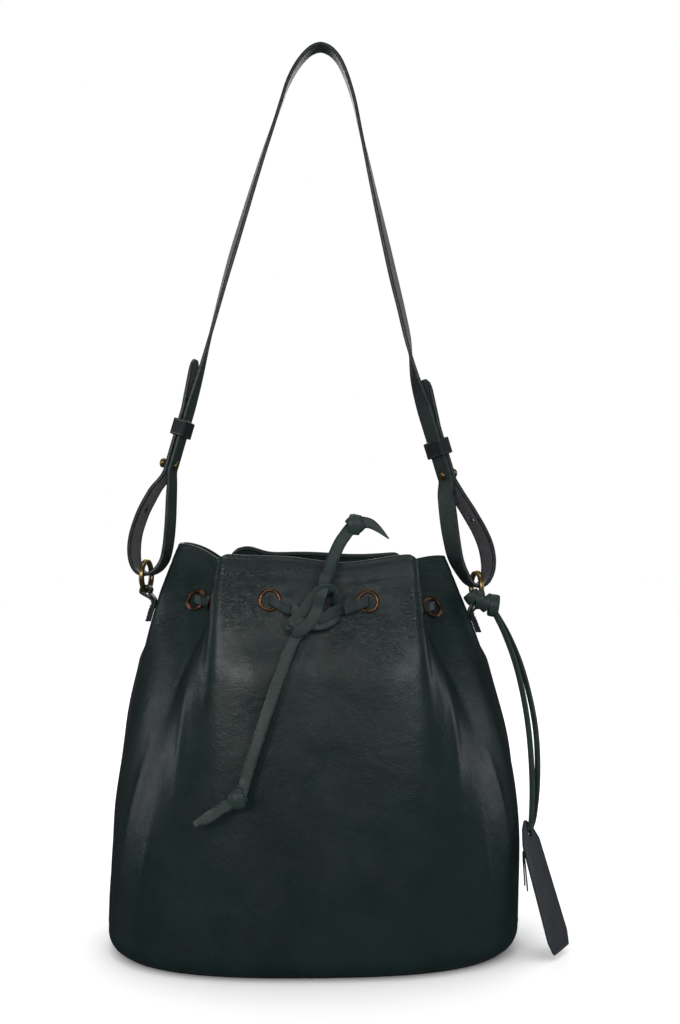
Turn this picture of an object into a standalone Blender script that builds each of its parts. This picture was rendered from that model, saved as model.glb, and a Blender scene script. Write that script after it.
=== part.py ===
"""Drawstring bucket bag in smooth leather, standing with its shoulder strap upright.

Units are metres and +Z is up. The origin is the middle of the base's underside, the bag's
front faces -Y, and +X is the wearer's side with the hang tag. Every object is one closed piece.
"""

import math

import bmesh
import bpy
import numpy as np
from mathutils import Matrix, Vector

# Body: a rounded oval base, drawn in at the rim to a front lobe, a back lobe and two side lobes.
BASE_HALF_WIDTH = 0.146
BASE_HALF_DEPTH = 0.1035
BASE_EXPONENT = 2.6
WALL_FOOT_Z = 0.0016
TUCK_RADIUS = 0.014
GATHER_START_Z = 0.05
GATHER_FULL_Z = 0.28
GATHER_POWER = 2.0
LEAN_X = 0.0038
LOBE_SHIFT = ((0.0, 0.38, 0.6, 0.9, 1.0), (0.0038, 0.0038, 0.001, -0.0018, -0.0018))
RIM_FRONT_Z = 0.2782
RIM_PLEAT_Z = 0.268
RIM_SIDE_Z = {-1: 0.286, 1: 0.277}
# The rim's plan from the front centre to the side seam: lobe edge, pleat, lobe edge, seam.
RIM_CORNERS = ((0.0, 0.071), (0.0747, 0.0715), (0.040, 0.028), (0.097, 0.009), (0.097, 0.0))
RIM_RADII = (0.0, 0.006, 0.005, 0.008, 0.0)
# Where a quarter of the wall is divided: closely at its folds, widely between them.
QUARTER_SPLITS = (0, 0.1, 0.2, 0.29, 0.34, 0.36, 0.377, 0.395, 0.414, 0.48, 0.55, 0.612, 0.638,
                  0.665, 0.72, 0.79, 0.86, 0.927, 0.955, 0.982, 1.0)
LEATHER = 0.0016
LINING = 0.0008
GAP = 0.00035
SEAM_HALF_GAP = 0.0075
FACING_DEPTH = 0.055

# Fittings.
EYELET_Z = {-1: (0.2468, 0.2455, 0.2449), 1: (0.2457, 0.2425, 0.2396)}
EYELET_PLACES = {-1: (0.168, 0.49, 0.745), 1: (0.181, 0.49, 0.748)}
EYELET_STAND_OFF = (0.0004, 0.0013, 0.0010)
EYELET_BORE = 0.0057
EYELET_BARREL = 0.0062
EYELET_FLANGE = 0.0080
EYELET_HOLE = 0.0067
RING_X = 0.1206
RING_Z = {-1: 0.2615, 1: 0.2532}
RING_RADIUS = 0.0106
RING_WIRE = 0.0016
RING_TURN = math.radians(13)
TAB_FOOT_Z = {-1: 0.2285, 1: 0.2202}

# Shoulder strap: one long strip that runs down through each ring and back up over a stud.
STRAP_WIDTH = 0.0165
STRAP_THICKNESS = 0.0026
LAYER_STEP = 0.0031
STRAP_SLOPE = {-1: 0.286, 1: 0.300}
STRAP_LINE_X = {-1: 0.0950, 1: 0.0888}
STRAP_LINE_Z = 0.363
STUD_Z = {-1: 0.342, 1: 0.335}
KEEPER_Z = {-1: 0.3686, 1: 0.3547}
TIP_Z = {-1: 0.418, 1: 0.404}
TIP_SPREAD = 0.1
KEEPER_TRAVEL = 0.014

# Drawstring lace and its knots.
LACE_WIDTH = 0.0068
LACE_THICKNESS = 0.0018
TAIL_RADIUS = 0.0027


def clear_scene():
    for item in list(bpy.data.objects):
        bpy.data.objects.remove(item, do_unlink=True)


def material(name, colour, roughness, metallic=0.0):
    made = bpy.data.materials.new(name)
    made.use_nodes = True
    shader = made.node_tree.nodes["Principled BSDF"]
    shader.inputs["Base Color"].default_value = (*colour, 1)
    shader.inputs["Roughness"].default_value = roughness
    shader.inputs["Metallic"].default_value = metallic
    return made


def add_object(name, bm, finish, smooth_angle=40):
    """A new object from a bmesh, with its faces pointing out and its round parts shaded smooth."""
    bmesh.ops.recalc_face_normals(bm, faces=bm.faces)
    mesh = bpy.data.meshes.new(name)
    bm.to_mesh(mesh)
    bm.free()
    mesh.shade_smooth()
    mesh.set_sharp_from_angle(angle=math.radians(smooth_angle))
    mesh.materials.append(finish)
    made = bpy.data.objects.new(name, mesh)
    bpy.context.collection.objects.link(made)
    return made


# ---- the wall's shape ----

def by_length(points):
    """Points along a line, and how far along it each one is, from 0 to 1."""
    points = np.array(points)
    steps = np.linalg.norm(np.diff(points, axis=0), axis=1)
    along = np.concatenate([[0.0], np.cumsum(steps)])
    return along / along[-1], points


def superellipse_quarter(half_width, half_depth, exponent, count=600):
    angles = np.linspace(0, math.pi / 2, count)
    x = half_width * np.sin(angles) ** (2 / exponent)
    y = half_depth * np.cos(angles) ** (2 / exponent)
    return by_length(np.stack([x, y], axis=1))


def rounded_line(corners, radii, steps=10):
    """A line through corners, each of them rounded to its radius."""
    points = [corners[0]]
    for before, here, after, radius in zip(corners, corners[1:], corners[2:], radii[1:]):
        here = Vector(here)
        back = (Vector(before) - here).normalized()
        on = (Vector(after) - here).normalized()
        half = back.angle(on) / 2
        centre = here + (back + on).normalized() * radius / math.sin(half)
        start = here + back * radius / math.tan(half) - centre
        end = here + on * radius / math.tan(half) - centre
        sweep = start.angle_signed(end)
        for i in range(steps + 1):
            points.append(tuple(centre + Matrix.Rotation(-sweep * i / steps, 2) @ start))
    points.append(corners[-1])
    return by_length(points)


BASE_LINE = superellipse_quarter(BASE_HALF_WIDTH, BASE_HALF_DEPTH, BASE_EXPONENT)
RIM_LINE = rounded_line(RIM_CORNERS, RIM_RADII)


def along_line(line, share):
    along, points = line
    return np.array([np.interp(share, along, points[:, 0]), np.interp(share, along, points[:, 1])])


def quarter_of(turn):
    """A turn from 0 to 4 runs from the front centre by the +X seam (1), the back (2) and the -X seam (3).

    Gives how far it is from a centre line to a seam, the side of the bag, and front (-1) or back (1).
    """
    turn = turn % 4
    side = 1 if turn < 2 else -1
    face = 1 if 1 < turn < 3 else -1
    share = turn % 2
    return (share if share <= 1 else 2 - share), side, face


def gather(z):
    """How far the drawstring has drawn the wall in at this height: 0 at the base, 1 at the rim."""
    t = (z - GATHER_START_Z) / (GATHER_FULL_Z - GATHER_START_Z)
    return max(0.0, t) ** GATHER_POWER


def outline(turn, z):
    share, side, face = quarter_of(turn)
    drawn = gather(z)
    x, y = along_line(BASE_LINE, share) * (1 - drawn) + along_line(RIM_LINE, share) * drawn
    lean = LEAN_X * math.sin(math.pi * min((z + 0.02) / 0.27, 1.0))
    lobe = drawn * np.interp(share, *LOBE_SHIFT)
    return np.array([side * x + lean + lobe, face * y])


def tuck(z):
    """How far the wall curves in under itself at its foot."""
    if z >= TUCK_RADIUS:
        return 0.0
    return TUCK_RADIUS * (1 - math.sqrt(1 - ((TUCK_RADIUS - z) / TUCK_RADIUS) ** 2))


def wall_point(turn, z, inset=0.0):
    step = 0.004
    along = outline(turn + step, z) - outline(turn - step, z)
    out = np.array([along[1], -along[0]]) / np.linalg.norm(along)
    x, y = outline(turn, z) - out * (inset + tuck(z))
    return Vector((x, y, z))


def smooth_step(low, high, value):
    t = min(max((value - low) / (high - low), 0.0), 1.0)
    return t * t * (3 - 2 * t)


def rim_z(turn):
    """The rim's height: it dips beside the front centre and has a low hump on the back lobe."""
    share, side, _ = quarter_of(turn)
    down = smooth_step(0.33, 0.44, share)
    up = smooth_step(0.62, 0.97, share)
    from_front = (turn + 2) % 4 - 2
    dip = 0.0066 * math.exp(-((from_front - 0.074) / 0.174) ** 2)
    hump = 0.0050 * math.exp(-((turn % 4 - 2.298) / 0.07) ** 2)
    level = RIM_FRONT_Z + (RIM_PLEAT_Z - RIM_FRONT_Z) * down + (RIM_SIDE_Z[side] - RIM_PLEAT_Z) * up
    return level - dip + hump


def wall_normal(turn, z):
    across = wall_point(turn + 0.02, z) - wall_point(turn - 0.02, z)
    up = wall_point(turn, z + 0.004) - wall_point(turn, z - 0.004)
    return across.cross(up).normalized()


# ---- shells that follow the wall ----

def heights(turn, fixed, below_rim):
    return list(fixed) + [rim_z(turn) - drop for drop in below_rim]


def shell(name, turns, closed, fixed, below_rim, outside, inside, finish):
    """A skin between two insets from the wall, over some turns and heights.

    Its squares are split the same way in every skin, so that nested skins stay parallel when cut.
    """
    bm = bmesh.new()
    skins = []
    for inset in (outside, inside):
        columns = []
        for turn in turns:
            rows = heights(turn, fixed, below_rim)
            columns.append([bm.verts.new(wall_point(turn, z, inset)) for z in rows])
        skins.append(columns)
    count = len(turns)
    rows = len(skins[0][0])
    for i in range(count if closed else count - 1):
        j = (i + 1) % count
        for skin in skins:
            for k in range(rows - 1):
                bm.faces.new((skin[i][k], skin[j][k], skin[j][k + 1]))
                bm.faces.new((skin[i][k], skin[j][k + 1], skin[i][k + 1]))
        for k in (0, rows - 1):
            bm.faces.new((skins[0][i][k], skins[0][j][k], skins[1][j][k], skins[1][i][k]))
    if not closed:
        for i in (0, count - 1):
            for k in range(rows - 1):
                low = (skins[0][i][k], skins[0][i][k + 1])
                bm.faces.new((*low, skins[1][i][k + 1], skins[1][i][k]))
    return add_object(name, bm, finish)


def half_turns(centre):
    """The turns of a front or back panel, from one side seam to the other."""
    ends = [1 - SEAM_HALF_GAP if share == 1.0 else share for share in QUARTER_SPLITS]
    return [centre - share for share in reversed(ends[1:])] + [centre + share for share in ends]


def full_turns():
    turns = []
    for quarter in range(4):
        for share in QUARTER_SPLITS[:-1] if quarter % 2 == 0 else QUARTER_SPLITS[:0:-1]:
            turns.append(quarter + (share if quarter % 2 == 0 else 1 - share))
    return turns


FOOT_ROWS = (WALL_FOOT_Z, 0.0026, 0.0046, 0.0075, 0.0105, 0.016, 0.05, 0.09, 0.125, 0.155, 0.185)
TOP_ROWS = (FACING_DEPTH, 0.036, 0.018, 0.0)


def eyelet(side, face, number):
    """An eyelet's centre on the wall, its outward axis, and how far its flanges stand off the leather."""
    share = EYELET_PLACES[side][number]
    turn = (share if face < 0 else 2 - share) if side > 0 else (4 - share if face < 0 else 2 + share)
    z = EYELET_Z[side][number]
    return wall_point(turn, z), wall_normal(turn, z), EYELET_STAND_OFF[number]


def all_eyelets():
    for face, face_word in ((-1, "front"), (1, "back")):
        for side, side_word in ((1, "right"), (-1, "left")):
            for number in range(len(EYELET_STAND_OFF)):
                yield f"eyelet_{face_word}_{side_word}_{number + 1}", *eyelet(side, face, number)


def lathe(profile, steps, at, axis):
    """A bmesh turned from a closed profile of (radius, height) points round an axis."""
    bm = bmesh.new()
    place = Matrix.Translation(at) @ axis.to_track_quat("Z", "Y").to_matrix().to_4x4()
    rings = []
    for i in range(steps):
        angle = 2 * math.pi * i / steps
        turned = Vector((math.cos(angle), math.sin(angle), 0))
        rings.append([bm.verts.new(place @ (turned * r + Vector((0, 0, h)))) for r, h in profile])
    for i in range(steps):
        here, there = rings[i], rings[(i + 1) % steps]
        for k in range(len(profile)):
            n = (k + 1) % len(profile)
            bm.faces.new((here[k], there[k], there[n], here[n]))
    return bm


def solid_lathe(profile, steps, at, axis):
    """A bmesh turned from a profile that starts and ends on the axis."""
    bm = bmesh.new()
    place = Matrix.Translation(at) @ axis.to_track_quat("Z", "Y").to_matrix().to_4x4()
    rings = []
    for radius, height in profile:
        if radius == 0:
            rings.append([bm.verts.new(place @ Vector((0, 0, height)))])
            continue
        ring = []
        for i in range(steps):
            angle = 2 * math.pi * i / steps
            spot = Vector((radius * math.cos(angle), radius * math.sin(angle), height))
            ring.append(bm.verts.new(place @ spot))
        rings.append(ring)
    for low, high in zip(rings, rings[1:]):
        for i in range(steps):
            j = (i + 1) % steps
            if len(low) == 1:
                bm.faces.new((low[0], high[i], high[j]))
            elif len(high) == 1:
                bm.faces.new((low[i], low[j], high[0]))
            else:
                bm.faces.new((low[i], low[j], high[j], high[i]))
    return bm


def drill(target, at, axis, radius, half_length, steps=16):
    """Cuts a round hole through an object and leaves its modifier applied by the evaluated mesh."""
    profile = ((0, -half_length), (radius, -half_length), (radius, half_length), (0, half_length))
    cutter = add_object(f"{target.name}_cutter_{len(target.modifiers)}",
                        solid_lathe(profile, steps, at, axis), target.data.materials[0])
    cutter.hide_render = True
    cutter.display_type = "WIRE"
    cut = target.modifiers.new("hole", "BOOLEAN")
    cut.operation = "DIFFERENCE"
    cut.object = cutter


def make_body(leather, lining_cloth, board):
    front = shell("front_panel", half_turns(0), False, FOOT_ROWS, TOP_ROWS, 0.0, LEATHER, leather)
    back = shell("back_panel", half_turns(2), False, FOOT_ROWS, TOP_ROWS, 0.0, LEATHER, leather)
    facing_out = LEATHER + GAP
    facing = shell("rim_facing", full_turns(), True, (), (FACING_DEPTH - 0.001, 0.036, 0.018, 0.0005),
                   facing_out, facing_out + 0.0011, leather)
    lining_out = LEATHER + 0.0014
    shell("lining_wall", full_turns(), True, (0.0075, 0.012, 0.02, 0.055, 0.10, 0.15, 0.19),
          (FACING_DEPTH + 0.001,), lining_out, lining_out + LINING, lining_cloth)
    for name, at, axis, _ in all_eyelets():
        drill(front if "front" in name else back, at, axis, EYELET_HOLE, 0.005)
        drill(facing, at, axis, EYELET_HOLE, 0.006)
    for name, inset, low, high, finish in (
        ("base_panel", 0.0098, 0.0, 0.0022, leather),
        ("base_board", 0.0080, 0.0026, 0.0046, board),
        ("lining_floor", 0.0084, 0.0050, 0.0058, lining_cloth),
    ):
        plate(name, inset, low, high, finish)
    for side, name in ((1, "side_welt_right"), (-1, "side_welt_left")):
        make_side_welt(name, side, leather)


def plate(name, inset, low, high, finish, count=64):
    bm = bmesh.new()
    rims = []
    for z in (low, high):
        rims.append([bm.verts.new(base_point(4 * i / count, inset, z)) for i in range(count)])
    for i in range(count):
        j = (i + 1) % count
        bm.faces.new((rims[0][i], rims[0][j], rims[1][j], rims[1][i]))
    bm.faces.new(rims[0])
    bm.faces.new(rims[1])
    return add_object(name, bm, finish)


def base_point(turn, inset, z):
    """A point on the base's outline, moved in by inset."""
    step = 0.004
    along = outline(turn + step, 0.0) - outline(turn - step, 0.0)
    out = np.array([along[1], -along[0]]) / np.linalg.norm(along)
    x, y = outline(turn, 0.0) - out * inset
    return Vector((x, y, z))


def make_side_welt(name, side, leather):
    """The strip sewn between the panels at a side seam, standing proud below the ring tab."""
    half = 0.0011
    top = RIM_SIDE_Z[side] - 0.002
    levels = (0.0036, 0.0056, 0.0085, 0.012, 0.02, 0.05, 0.09, 0.125, 0.155, 0.185, 0.203, 0.214,
              0.222, 0.24, 0.26, top)
    bm = bmesh.new()
    rings = []
    for z in levels:
        proud = 0.0022 * (1 - smooth_step(0.200, 0.214, z))
        seam = 1 if side > 0 else 3
        outer = wall_point(seam, z, -proud)
        inner = wall_point(seam, z, LEATHER - 0.0006)
        ring = [(outer, -half), (outer, half), (inner, half), (inner, -half)]
        rings.append([bm.verts.new(spot + Vector((0, off, 0))) for spot, off in ring])
    skin_tube(bm, rings)
    return add_object(name, bm, leather)


def skin_tube(bm, rings):
    """Faces between rings of vertices along a bar, and one at each end."""
    sides = len(rings[0])
    for low, high in zip(rings, rings[1:]):
        for k in range(sides):
            n = (k + 1) % sides
            bm.faces.new((low[k], low[n], high[n], high[k]))
    bm.faces.new(rings[0])
    bm.faces.new(rings[-1])


def make_eyelets(brass):
    depth = 2 * LEATHER + GAP - 0.0005
    for name, at, axis, off in all_eyelets():
        inner = -depth - off
        profile = (
            (EYELET_BORE, inner - 0.0006), (EYELET_FLANGE - 0.001, inner - 0.0006),
            (EYELET_FLANGE - 0.001, inner), (EYELET_BARREL, inner), (EYELET_BARREL, off),
            (EYELET_FLANGE, off), (EYELET_FLANGE - 0.0003, off + 0.0006),
            (EYELET_BARREL + 0.0008, off + 0.0009), (EYELET_BORE, off + 0.0003),
        )
        add_object(name, lathe(profile, 14, at, axis), brass)


# ---- rings and the tabs that hold them ----

def ring_frame(side):
    """Along the ring's plane, level, towards the front; and the ring's axis."""
    level = Vector((side * math.sin(RING_TURN), -math.cos(RING_TURN), 0))
    return level, Vector((math.cos(RING_TURN) * side, math.sin(RING_TURN), 0))


def make_rings(brass, leather):
    for side, word in ((1, "right"), (-1, "left")):
        centre = Vector((side * RING_X, 0, RING_Z[side]))
        level, axis = ring_frame(side)
        profile = []
        for k in range(6):
            angle = 2 * math.pi * k / 6
            profile.append((RING_RADIUS + RING_WIRE * math.cos(angle), RING_WIRE * math.sin(angle)))
        ring = add_object(f"ring_{word}", lathe(profile, 24, Vector(), axis), brass)
        ring.location = centre
        make_tab(f"ring_tab_{word}", side, centre - Vector((0, 0, RING_RADIUS)), level, leather)


def make_tab(name, side, wire, level, leather):
    """A leather strip folded round the foot of the ring, with both legs sewn to the side of the bag."""
    inner, thick, half = 0.0027, 0.0015, 0.0036
    out = Vector((side, 0, 0))
    middle = inner + thick / 2
    seam = 1 if side > 0 else 3
    foot_z = TAB_FOOT_Z[side]
    feet = [wall_point(seam, foot_z + rise, -2.6 * GAP - thick / 2) for rise in (0, 0.008, 0.015)]
    step = out * (thick + 0.0004)
    line = list(feet)
    for i in range(9):
        angle = math.radians(215 - 250 * i / 8)
        line.append(wire + middle * (out * math.cos(angle) + Vector((0, 0, math.sin(angle)))))
    line += [foot + step for foot in reversed(feet)]
    bm = bmesh.new()
    rings = []
    for i, spot in enumerate(line):
        before, after = line[max(i - 1, 0)], line[min(i + 1, len(line) - 1)]
        along = (after - before).normalized()
        drop = min(1.0, max(0.0, (spot.z - foot_z - 0.010) / 0.010))
        wide = Vector((0, -1, 0)).lerp(level, drop).normalized()
        across = along.cross(wide).normalized()
        ring = []
        for a, b in ((1, 1), (1, -1), (-1, -1), (-1, 1)):
            ring.append(bm.verts.new(spot + across * a * thick / 2 + wide * b * half))
        rings.append(ring)
    skin_tube(bm, rings)
    return add_object(name, bm, leather)


# ---- the shoulder strap ----

def strap_line(side, z):
    """The straight stretch of strap at the stud and keeper."""
    return Vector((side * (STRAP_LINE_X[side] + (STRAP_LINE_Z - z) * STRAP_SLOPE[side]), 0, z))


def tail_line(side, z):
    """The buttoned tail outside the straight stretch, springing off above the keeper."""
    _, out, _ = strap_frame(side)
    spread = TIP_SPREAD * max(0.0, z - KEEPER_Z[side] - KEEPER_TRAVEL)
    return strap_line(side, z) + out * (LAYER_STEP + spread)


# How far the strap's face is turned at the stud, in degrees.
STUD_TURN = {-1: -14, 1: -30}
# Each place round the loop from the stud, through the ring and back: sideways, height and turn.
LOOP_PLACES = {
    -1: ((0.1075, 0.3330, -17), (0.1140, 0.3248, -22), (0.1186, 0.3168, -24), (0.1224, 0.3095, -24),
         (0.1253, 0.3022, -24), (0.1285, 0.2915, -24), (0.1297, 0.2803, -24), (0.1285, 0.2705, -20),
         (0.1253, 0.2648, -16), (0.1206, 0.2628, -14), (0.1155, 0.2640, -14), (0.1110, 0.2674, -15),
         (0.1074, 0.2730, -16), (0.1054, 0.2810, -17), (0.1041, 0.2910, -18), (0.1032, 0.3040, -18),
         (0.1027, 0.3180, -17), (0.1023, 0.3280, -15)),
    1: ((0.1048, 0.3244, -31), (0.1095, 0.3170, -32), (0.1142, 0.3097, -33), (0.1186, 0.3023, -33),
        (0.1227, 0.2950, -33), (0.1275, 0.2835, -33), (0.1295, 0.2725, -30), (0.1290, 0.2640, -24),
        (0.1258, 0.2567, -17), (0.1203, 0.2539, -14), (0.1152, 0.2565, -16), (0.1110, 0.2625, -22),
        (0.1075, 0.2690, -28), (0.1049, 0.2760, -34), (0.1030, 0.2850, -38), (0.1012, 0.2960, -41),
        (0.0996, 0.3090, -41), (0.0983, 0.3220, -36)),
}
SPARE_HOLE = 3
# The straight stretch: height, and its share of the turn at the stud.
STRAIGHT_PLACES = ((0.3550, 1.0), (0.3700, 1.0), (0.3850, 1.0), (0.4070, 0.4))
# From above the buttoned tail to the top: sideways, height and turn.
TOP_PLACES = {
    -1: ((0.0755, 0.4343, 5), (0.0639, 0.4786, 14), (0.0576, 0.5008, 17), (0.0510, 0.5230, 16),
         (0.0374, 0.5676, 12), (0.0300, 0.5900, 9), (0.0225, 0.6124, 4), (0.0187, 0.6236, 2),
         (0.0136, 0.6342, 0), (0.0073, 0.6434, 0), (0.0008, 0.6496, 0)),
    1: ((0.0705, 0.4349, 16), (0.0657, 0.4571, 20), (0.0604, 0.4793, 22), (0.0504, 0.5237, 18),
        (0.0454, 0.5460, 14), (0.0406, 0.5683, 10), (0.0357, 0.5906, 5), (0.0308, 0.6129, 2),
        (0.0238, 0.6342, 0), (0.0190, 0.6434, 0), (0.0130, 0.6496, 0)),
}
STRAP_TOP = Vector((0.006, 0, 0.6520))


def strap_places(side):
    """Centre points of the strap with the turn of its face, from one tail's tip up to the top."""
    stud_z, stud_turn = STUD_Z[side], STUD_TURN[side]
    places = []
    spread_z = KEEPER_Z[side] + KEEPER_TRAVEL
    straight = (spread_z + 0.008, spread_z, spread_z - 0.008, 0.356)
    for z in (TIP_Z[side], *straight, stud_z + 0.006, stud_z, stud_z - 0.006):
        places.append((tail_line(side, z), stud_turn))
    for x, z, turn in LOOP_PLACES[side]:
        places.append((Vector((side * x, 0, z)), turn))
    for z in (stud_z - 0.004, stud_z):
        places.append((strap_line(side, z), stud_turn))
    for z, share in STRAIGHT_PLACES:
        places.append((strap_line(side, z), stud_turn * share))
    for x, z, turn in TOP_PLACES[side]:
        places.append((Vector((side * x, 0, z)), turn))
    return places


def strip_sections(bm, places, width, thickness):
    """Rectangular sections along a strip. Each place has a side sign in its x and a face turn."""
    rings = []
    for i, (spot, turn) in enumerate(places):
        before, after = places[max(i - 1, 0)][0], places[min(i + 1, len(places) - 1)][0]
        along = (after - before).normalized()
        side = 1 if spot.x > STRAP_TOP.x else -1
        angle = math.radians(turn)
        wide = Vector((-side * math.sin(angle), -math.cos(angle), 0))
        wide = (wide - along * wide.dot(along)).normalized()
        across = along.cross(wide)
        ring = []
        for a, b in ((1, 1), (1, -1), (-1, -1), (-1, 1)):
            ring.append(bm.verts.new(spot + across * a * thickness / 2 + wide * b * width / 2))
        rings.append(ring)
    skin_tube(bm, rings)


def strap_frame(side):
    """Up along the straight stretch, outwards through its layers, and across its width."""
    up = (strap_line(side, 0.41) - strap_line(side, 0.34)).normalized()
    angle = math.radians(STUD_TURN[side])
    wide = Vector((-side * math.sin(angle), -math.cos(angle), 0))
    wide = (wide - up * wide.dot(up)).normalized()
    out = up.cross(wide)
    return up, (out if out.x * side > 0 else -out), wide


def make_strap(leather, brass):
    places = strap_places(-1) + [(STRAP_TOP, 0)] + list(reversed(strap_places(1)))
    bm = bmesh.new()
    strip_sections(bm, places, STRAP_WIDTH, STRAP_THICKNESS)
    strap = add_object("shoulder_strap", bm, leather)
    half = STRAP_THICKNESS / 2
    for side, word in ((1, "right"), (-1, "left")):
        up, out, wide = strap_frame(side)
        spot = strap_line(side, STUD_Z[side])
        drill(strap, spot, out, 0.0025, 0.012, 12)
        drill(strap, strap_spare_hole(side), spare_axis(side), 0.0023, 0.004, 12)
        outer = LAYER_STEP + half + 0.0004
        stud = ((0, -half), (0.0019, -half), (0.0019, outer + 0.0012), (0.0034, outer + 0.0024),
                (0.0037, outer + 0.0040), (0.0027, outer + 0.0056), (0, outer + 0.0061))
        add_object(f"stud_{word}", solid_lathe(stud, 14, spot, out), brass)
        screw = ((0, -half - 0.0015), (0.0027, -half - 0.0013), (0.0032, -half - 0.0009),
                 (0.0032, -half - 0.0004), (0, -half - 0.0004))
        add_object(f"stud_screw_{word}", solid_lathe(screw, 14, spot, out), brass)
        make_keeper(f"keeper_{word}", side, up, out, wide, leather)


def strap_spare_hole(side):
    """The middle of the second adjusting hole, in the free part of the buttoned tail."""
    x, z, _ = LOOP_PLACES[side][SPARE_HOLE]
    return Vector((side * x, 0, z))


def spare_axis(side):
    before, here, after = LOOP_PLACES[side][SPARE_HOLE - 1:SPARE_HOLE + 2]
    along = Vector((side * (after[0] - before[0]), 0, after[1] - before[1])).normalized()
    turn = math.radians(here[2])
    wide = Vector((-side * math.sin(turn), -math.cos(turn), 0))
    return along.cross((wide - along * wide.dot(along)).normalized())


def make_keeper(name, side, up, out, wide, leather):
    """The sliding loop that holds the tail against the strap."""
    clear, wall, height = 0.00055, 0.0016, 0.012
    half_wide = STRAP_WIDTH / 2 + clear
    half_out = (LAYER_STEP + STRAP_THICKNESS) / 2 + clear + 0.0003
    centre = strap_line(side, KEEPER_Z[side]) + out * LAYER_STEP / 2
    bm = bmesh.new()
    rings = []
    for a, b, c in ((0, -1, 0), (0, 1, 0), (1, 1, 0), (1, -1, 0)):
        loop = []
        for p, q in ((1, 1), (1, 0), (1, -1), (0, -1), (-1, -1), (-1, 0), (-1, 1), (0, 1)):
            corner = 0.0006 * a if p * q else 0.0
            spot = centre + wide * p * (half_wide + wall * a - corner)
            spot += out * q * (half_out + wall * a - corner) + up * b * height / 2
            loop.append(bm.verts.new(spot))
        rings.append(loop)
    for i in range(4):
        here, there = rings[i], rings[(i + 1) % 4]
        for k in range(8):
            n = (k + 1) % 8
            bm.faces.new((here[k], here[n], there[n], there[k]))
    return add_object(name, bm, leather)


# ---- drawstring ----

def smooth_line(points, steps):
    """A Catmull-Rom curve through points, with a number of steps between each two."""
    points = [Vector(point) for point in points]
    padded = [2 * points[0] - points[1], *points, 2 * points[-1] - points[-2]]
    line = []
    for a, b, c, d in zip(padded, padded[1:], padded[2:], padded[3:]):
        for i in range(steps):
            t = i / steps
            line.append(0.5 * (2 * b + (c - a) * t + (2 * a - 5 * b + 4 * c - d) * t * t
                               + (3 * b - a - 3 * c + d) * t ** 3))
    line.append(points[-1])
    return line


def bend_points(level, radius=0.0031, steps=4):
    """Out of an eyelet and round its lip: how far along the wall and how high, up to a level."""
    centre = level - math.copysign(radius, level)
    points = []
    for i in range(steps + 1):
        angle = math.pi / 2 * i / steps
        height = centre + math.copysign(radius, level) * math.sin(angle)
        points.append((radius * (1 - math.cos(angle)), height))
    return points + [(0.0078, level)]


def lace_route():
    """The drawstring's middle line: out of the knot, in and out of the twelve eyelets, and back."""
    # The order the lace passes them in, going round by the left side and the back.
    order = [(-1, -1, k) for k in (0, 1, 2)] + [(-1, 1, k) for k in (2, 1, 0)]
    order += [(1, 1, k) for k in (0, 1, 2)] + [(1, -1, k) for k in (2, 1, 0)]
    spots, normals, offs = zip(*(eyelet(*which) for which in order))
    knot_left = knot_middle() + Vector((-KNOT_HALF[0] - 0.0013, 0, 0))
    knot_right = knot_middle() + Vector((KNOT_HALF[0] + 0.0013, 0, 0))
    points = [knot_left]
    for i, (spot, normal) in enumerate(zip(spots, normals)):
        outside_first = i % 2 == 0
        over = 0.0032 + offs[i]
        under = -(0.0030 + 0.0032 + offs[i])
        before = spots[i - 1] if i > 0 else knot_left
        after = spots[i + 1] if i < 11 else knot_right
        towards = []
        for other in (before, after):
            flat = other - spot
            flat -= normal * flat.dot(normal)
            towards.append(flat.normalized())
        levels = (over, under) if outside_first else (under, over)
        for level, way, order_of in ((levels[0], towards[0], -1), (levels[1], towards[1], 1)):
            bend = bend_points(level)[::order_of]
            points += [spot + way * s + normal * h for s, h in bend]
    points.append(knot_right)
    return points


KNOT_HALF = (0.0165, 0.0062, 0.0135)
KNOT_Z = 0.2405


def knot_middle():
    return wall_point(0, KNOT_Z) + Vector((0, -KNOT_HALF[1] - 0.0017, 0))


def blob(name, middle, half, finish, up=Vector((0, 0, 1)), steps=12):
    """A rounded lump of given half sizes, its long axis along up."""
    profile = []
    for i in range(7):
        angle = math.pi * i / 6
        profile.append((0 if i in (0, 6) else math.sin(angle) ** 0.75, -math.cos(angle)))
    bm = solid_lathe(profile, steps, Vector(), Vector((0, 0, 1)))
    turn = up.to_track_quat("Z", "Y").to_matrix().to_4x4()
    size = Matrix.Diagonal((*half, 1))
    bmesh.ops.transform(bm, matrix=Matrix.Translation(middle) @ turn @ size, verts=bm.verts)
    return add_object(name, bm, finish)


def upright_strip(name, line, width, thickness, finish):
    """A flat lace on edge along a line, its width as near upright as the line lets it be."""
    bm = bmesh.new()
    rings = []
    for i, spot in enumerate(line):
        along = (line[min(i + 1, len(line) - 1)] - line[max(i - 1, 0)]).normalized()
        wide = Vector((0, 0, 1))
        wide = (wide - along * wide.dot(along)).normalized()
        across = along.cross(wide)
        ring = []
        for a, b in ((1, 1), (1, -1), (-1, -1), (-1, 1)):
            ring.append(bm.verts.new(spot + across * a * thickness / 2 + wide * b * width / 2))
        rings.append(ring)
    skin_tube(bm, rings)
    return add_object(name, bm, finish)


def tube(name, points, radius, steps, finish):
    """A round cord along a smooth curve through points."""
    curve = bpy.data.curves.new(name, "CURVE")
    curve.dimensions = "3D"
    curve.bevel_depth = radius
    curve.bevel_resolution = 2
    curve.use_fill_caps = True
    line = smooth_line(points, steps)
    spline = curve.splines.new("POLY")
    spline.points.add(len(line) - 1)
    for point, spot in zip(spline.points, line):
        point.co = (*spot, 1)
    curve.materials.append(finish)
    made = bpy.data.objects.new(name, curve)
    bpy.context.collection.objects.link(made)
    return made


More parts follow.
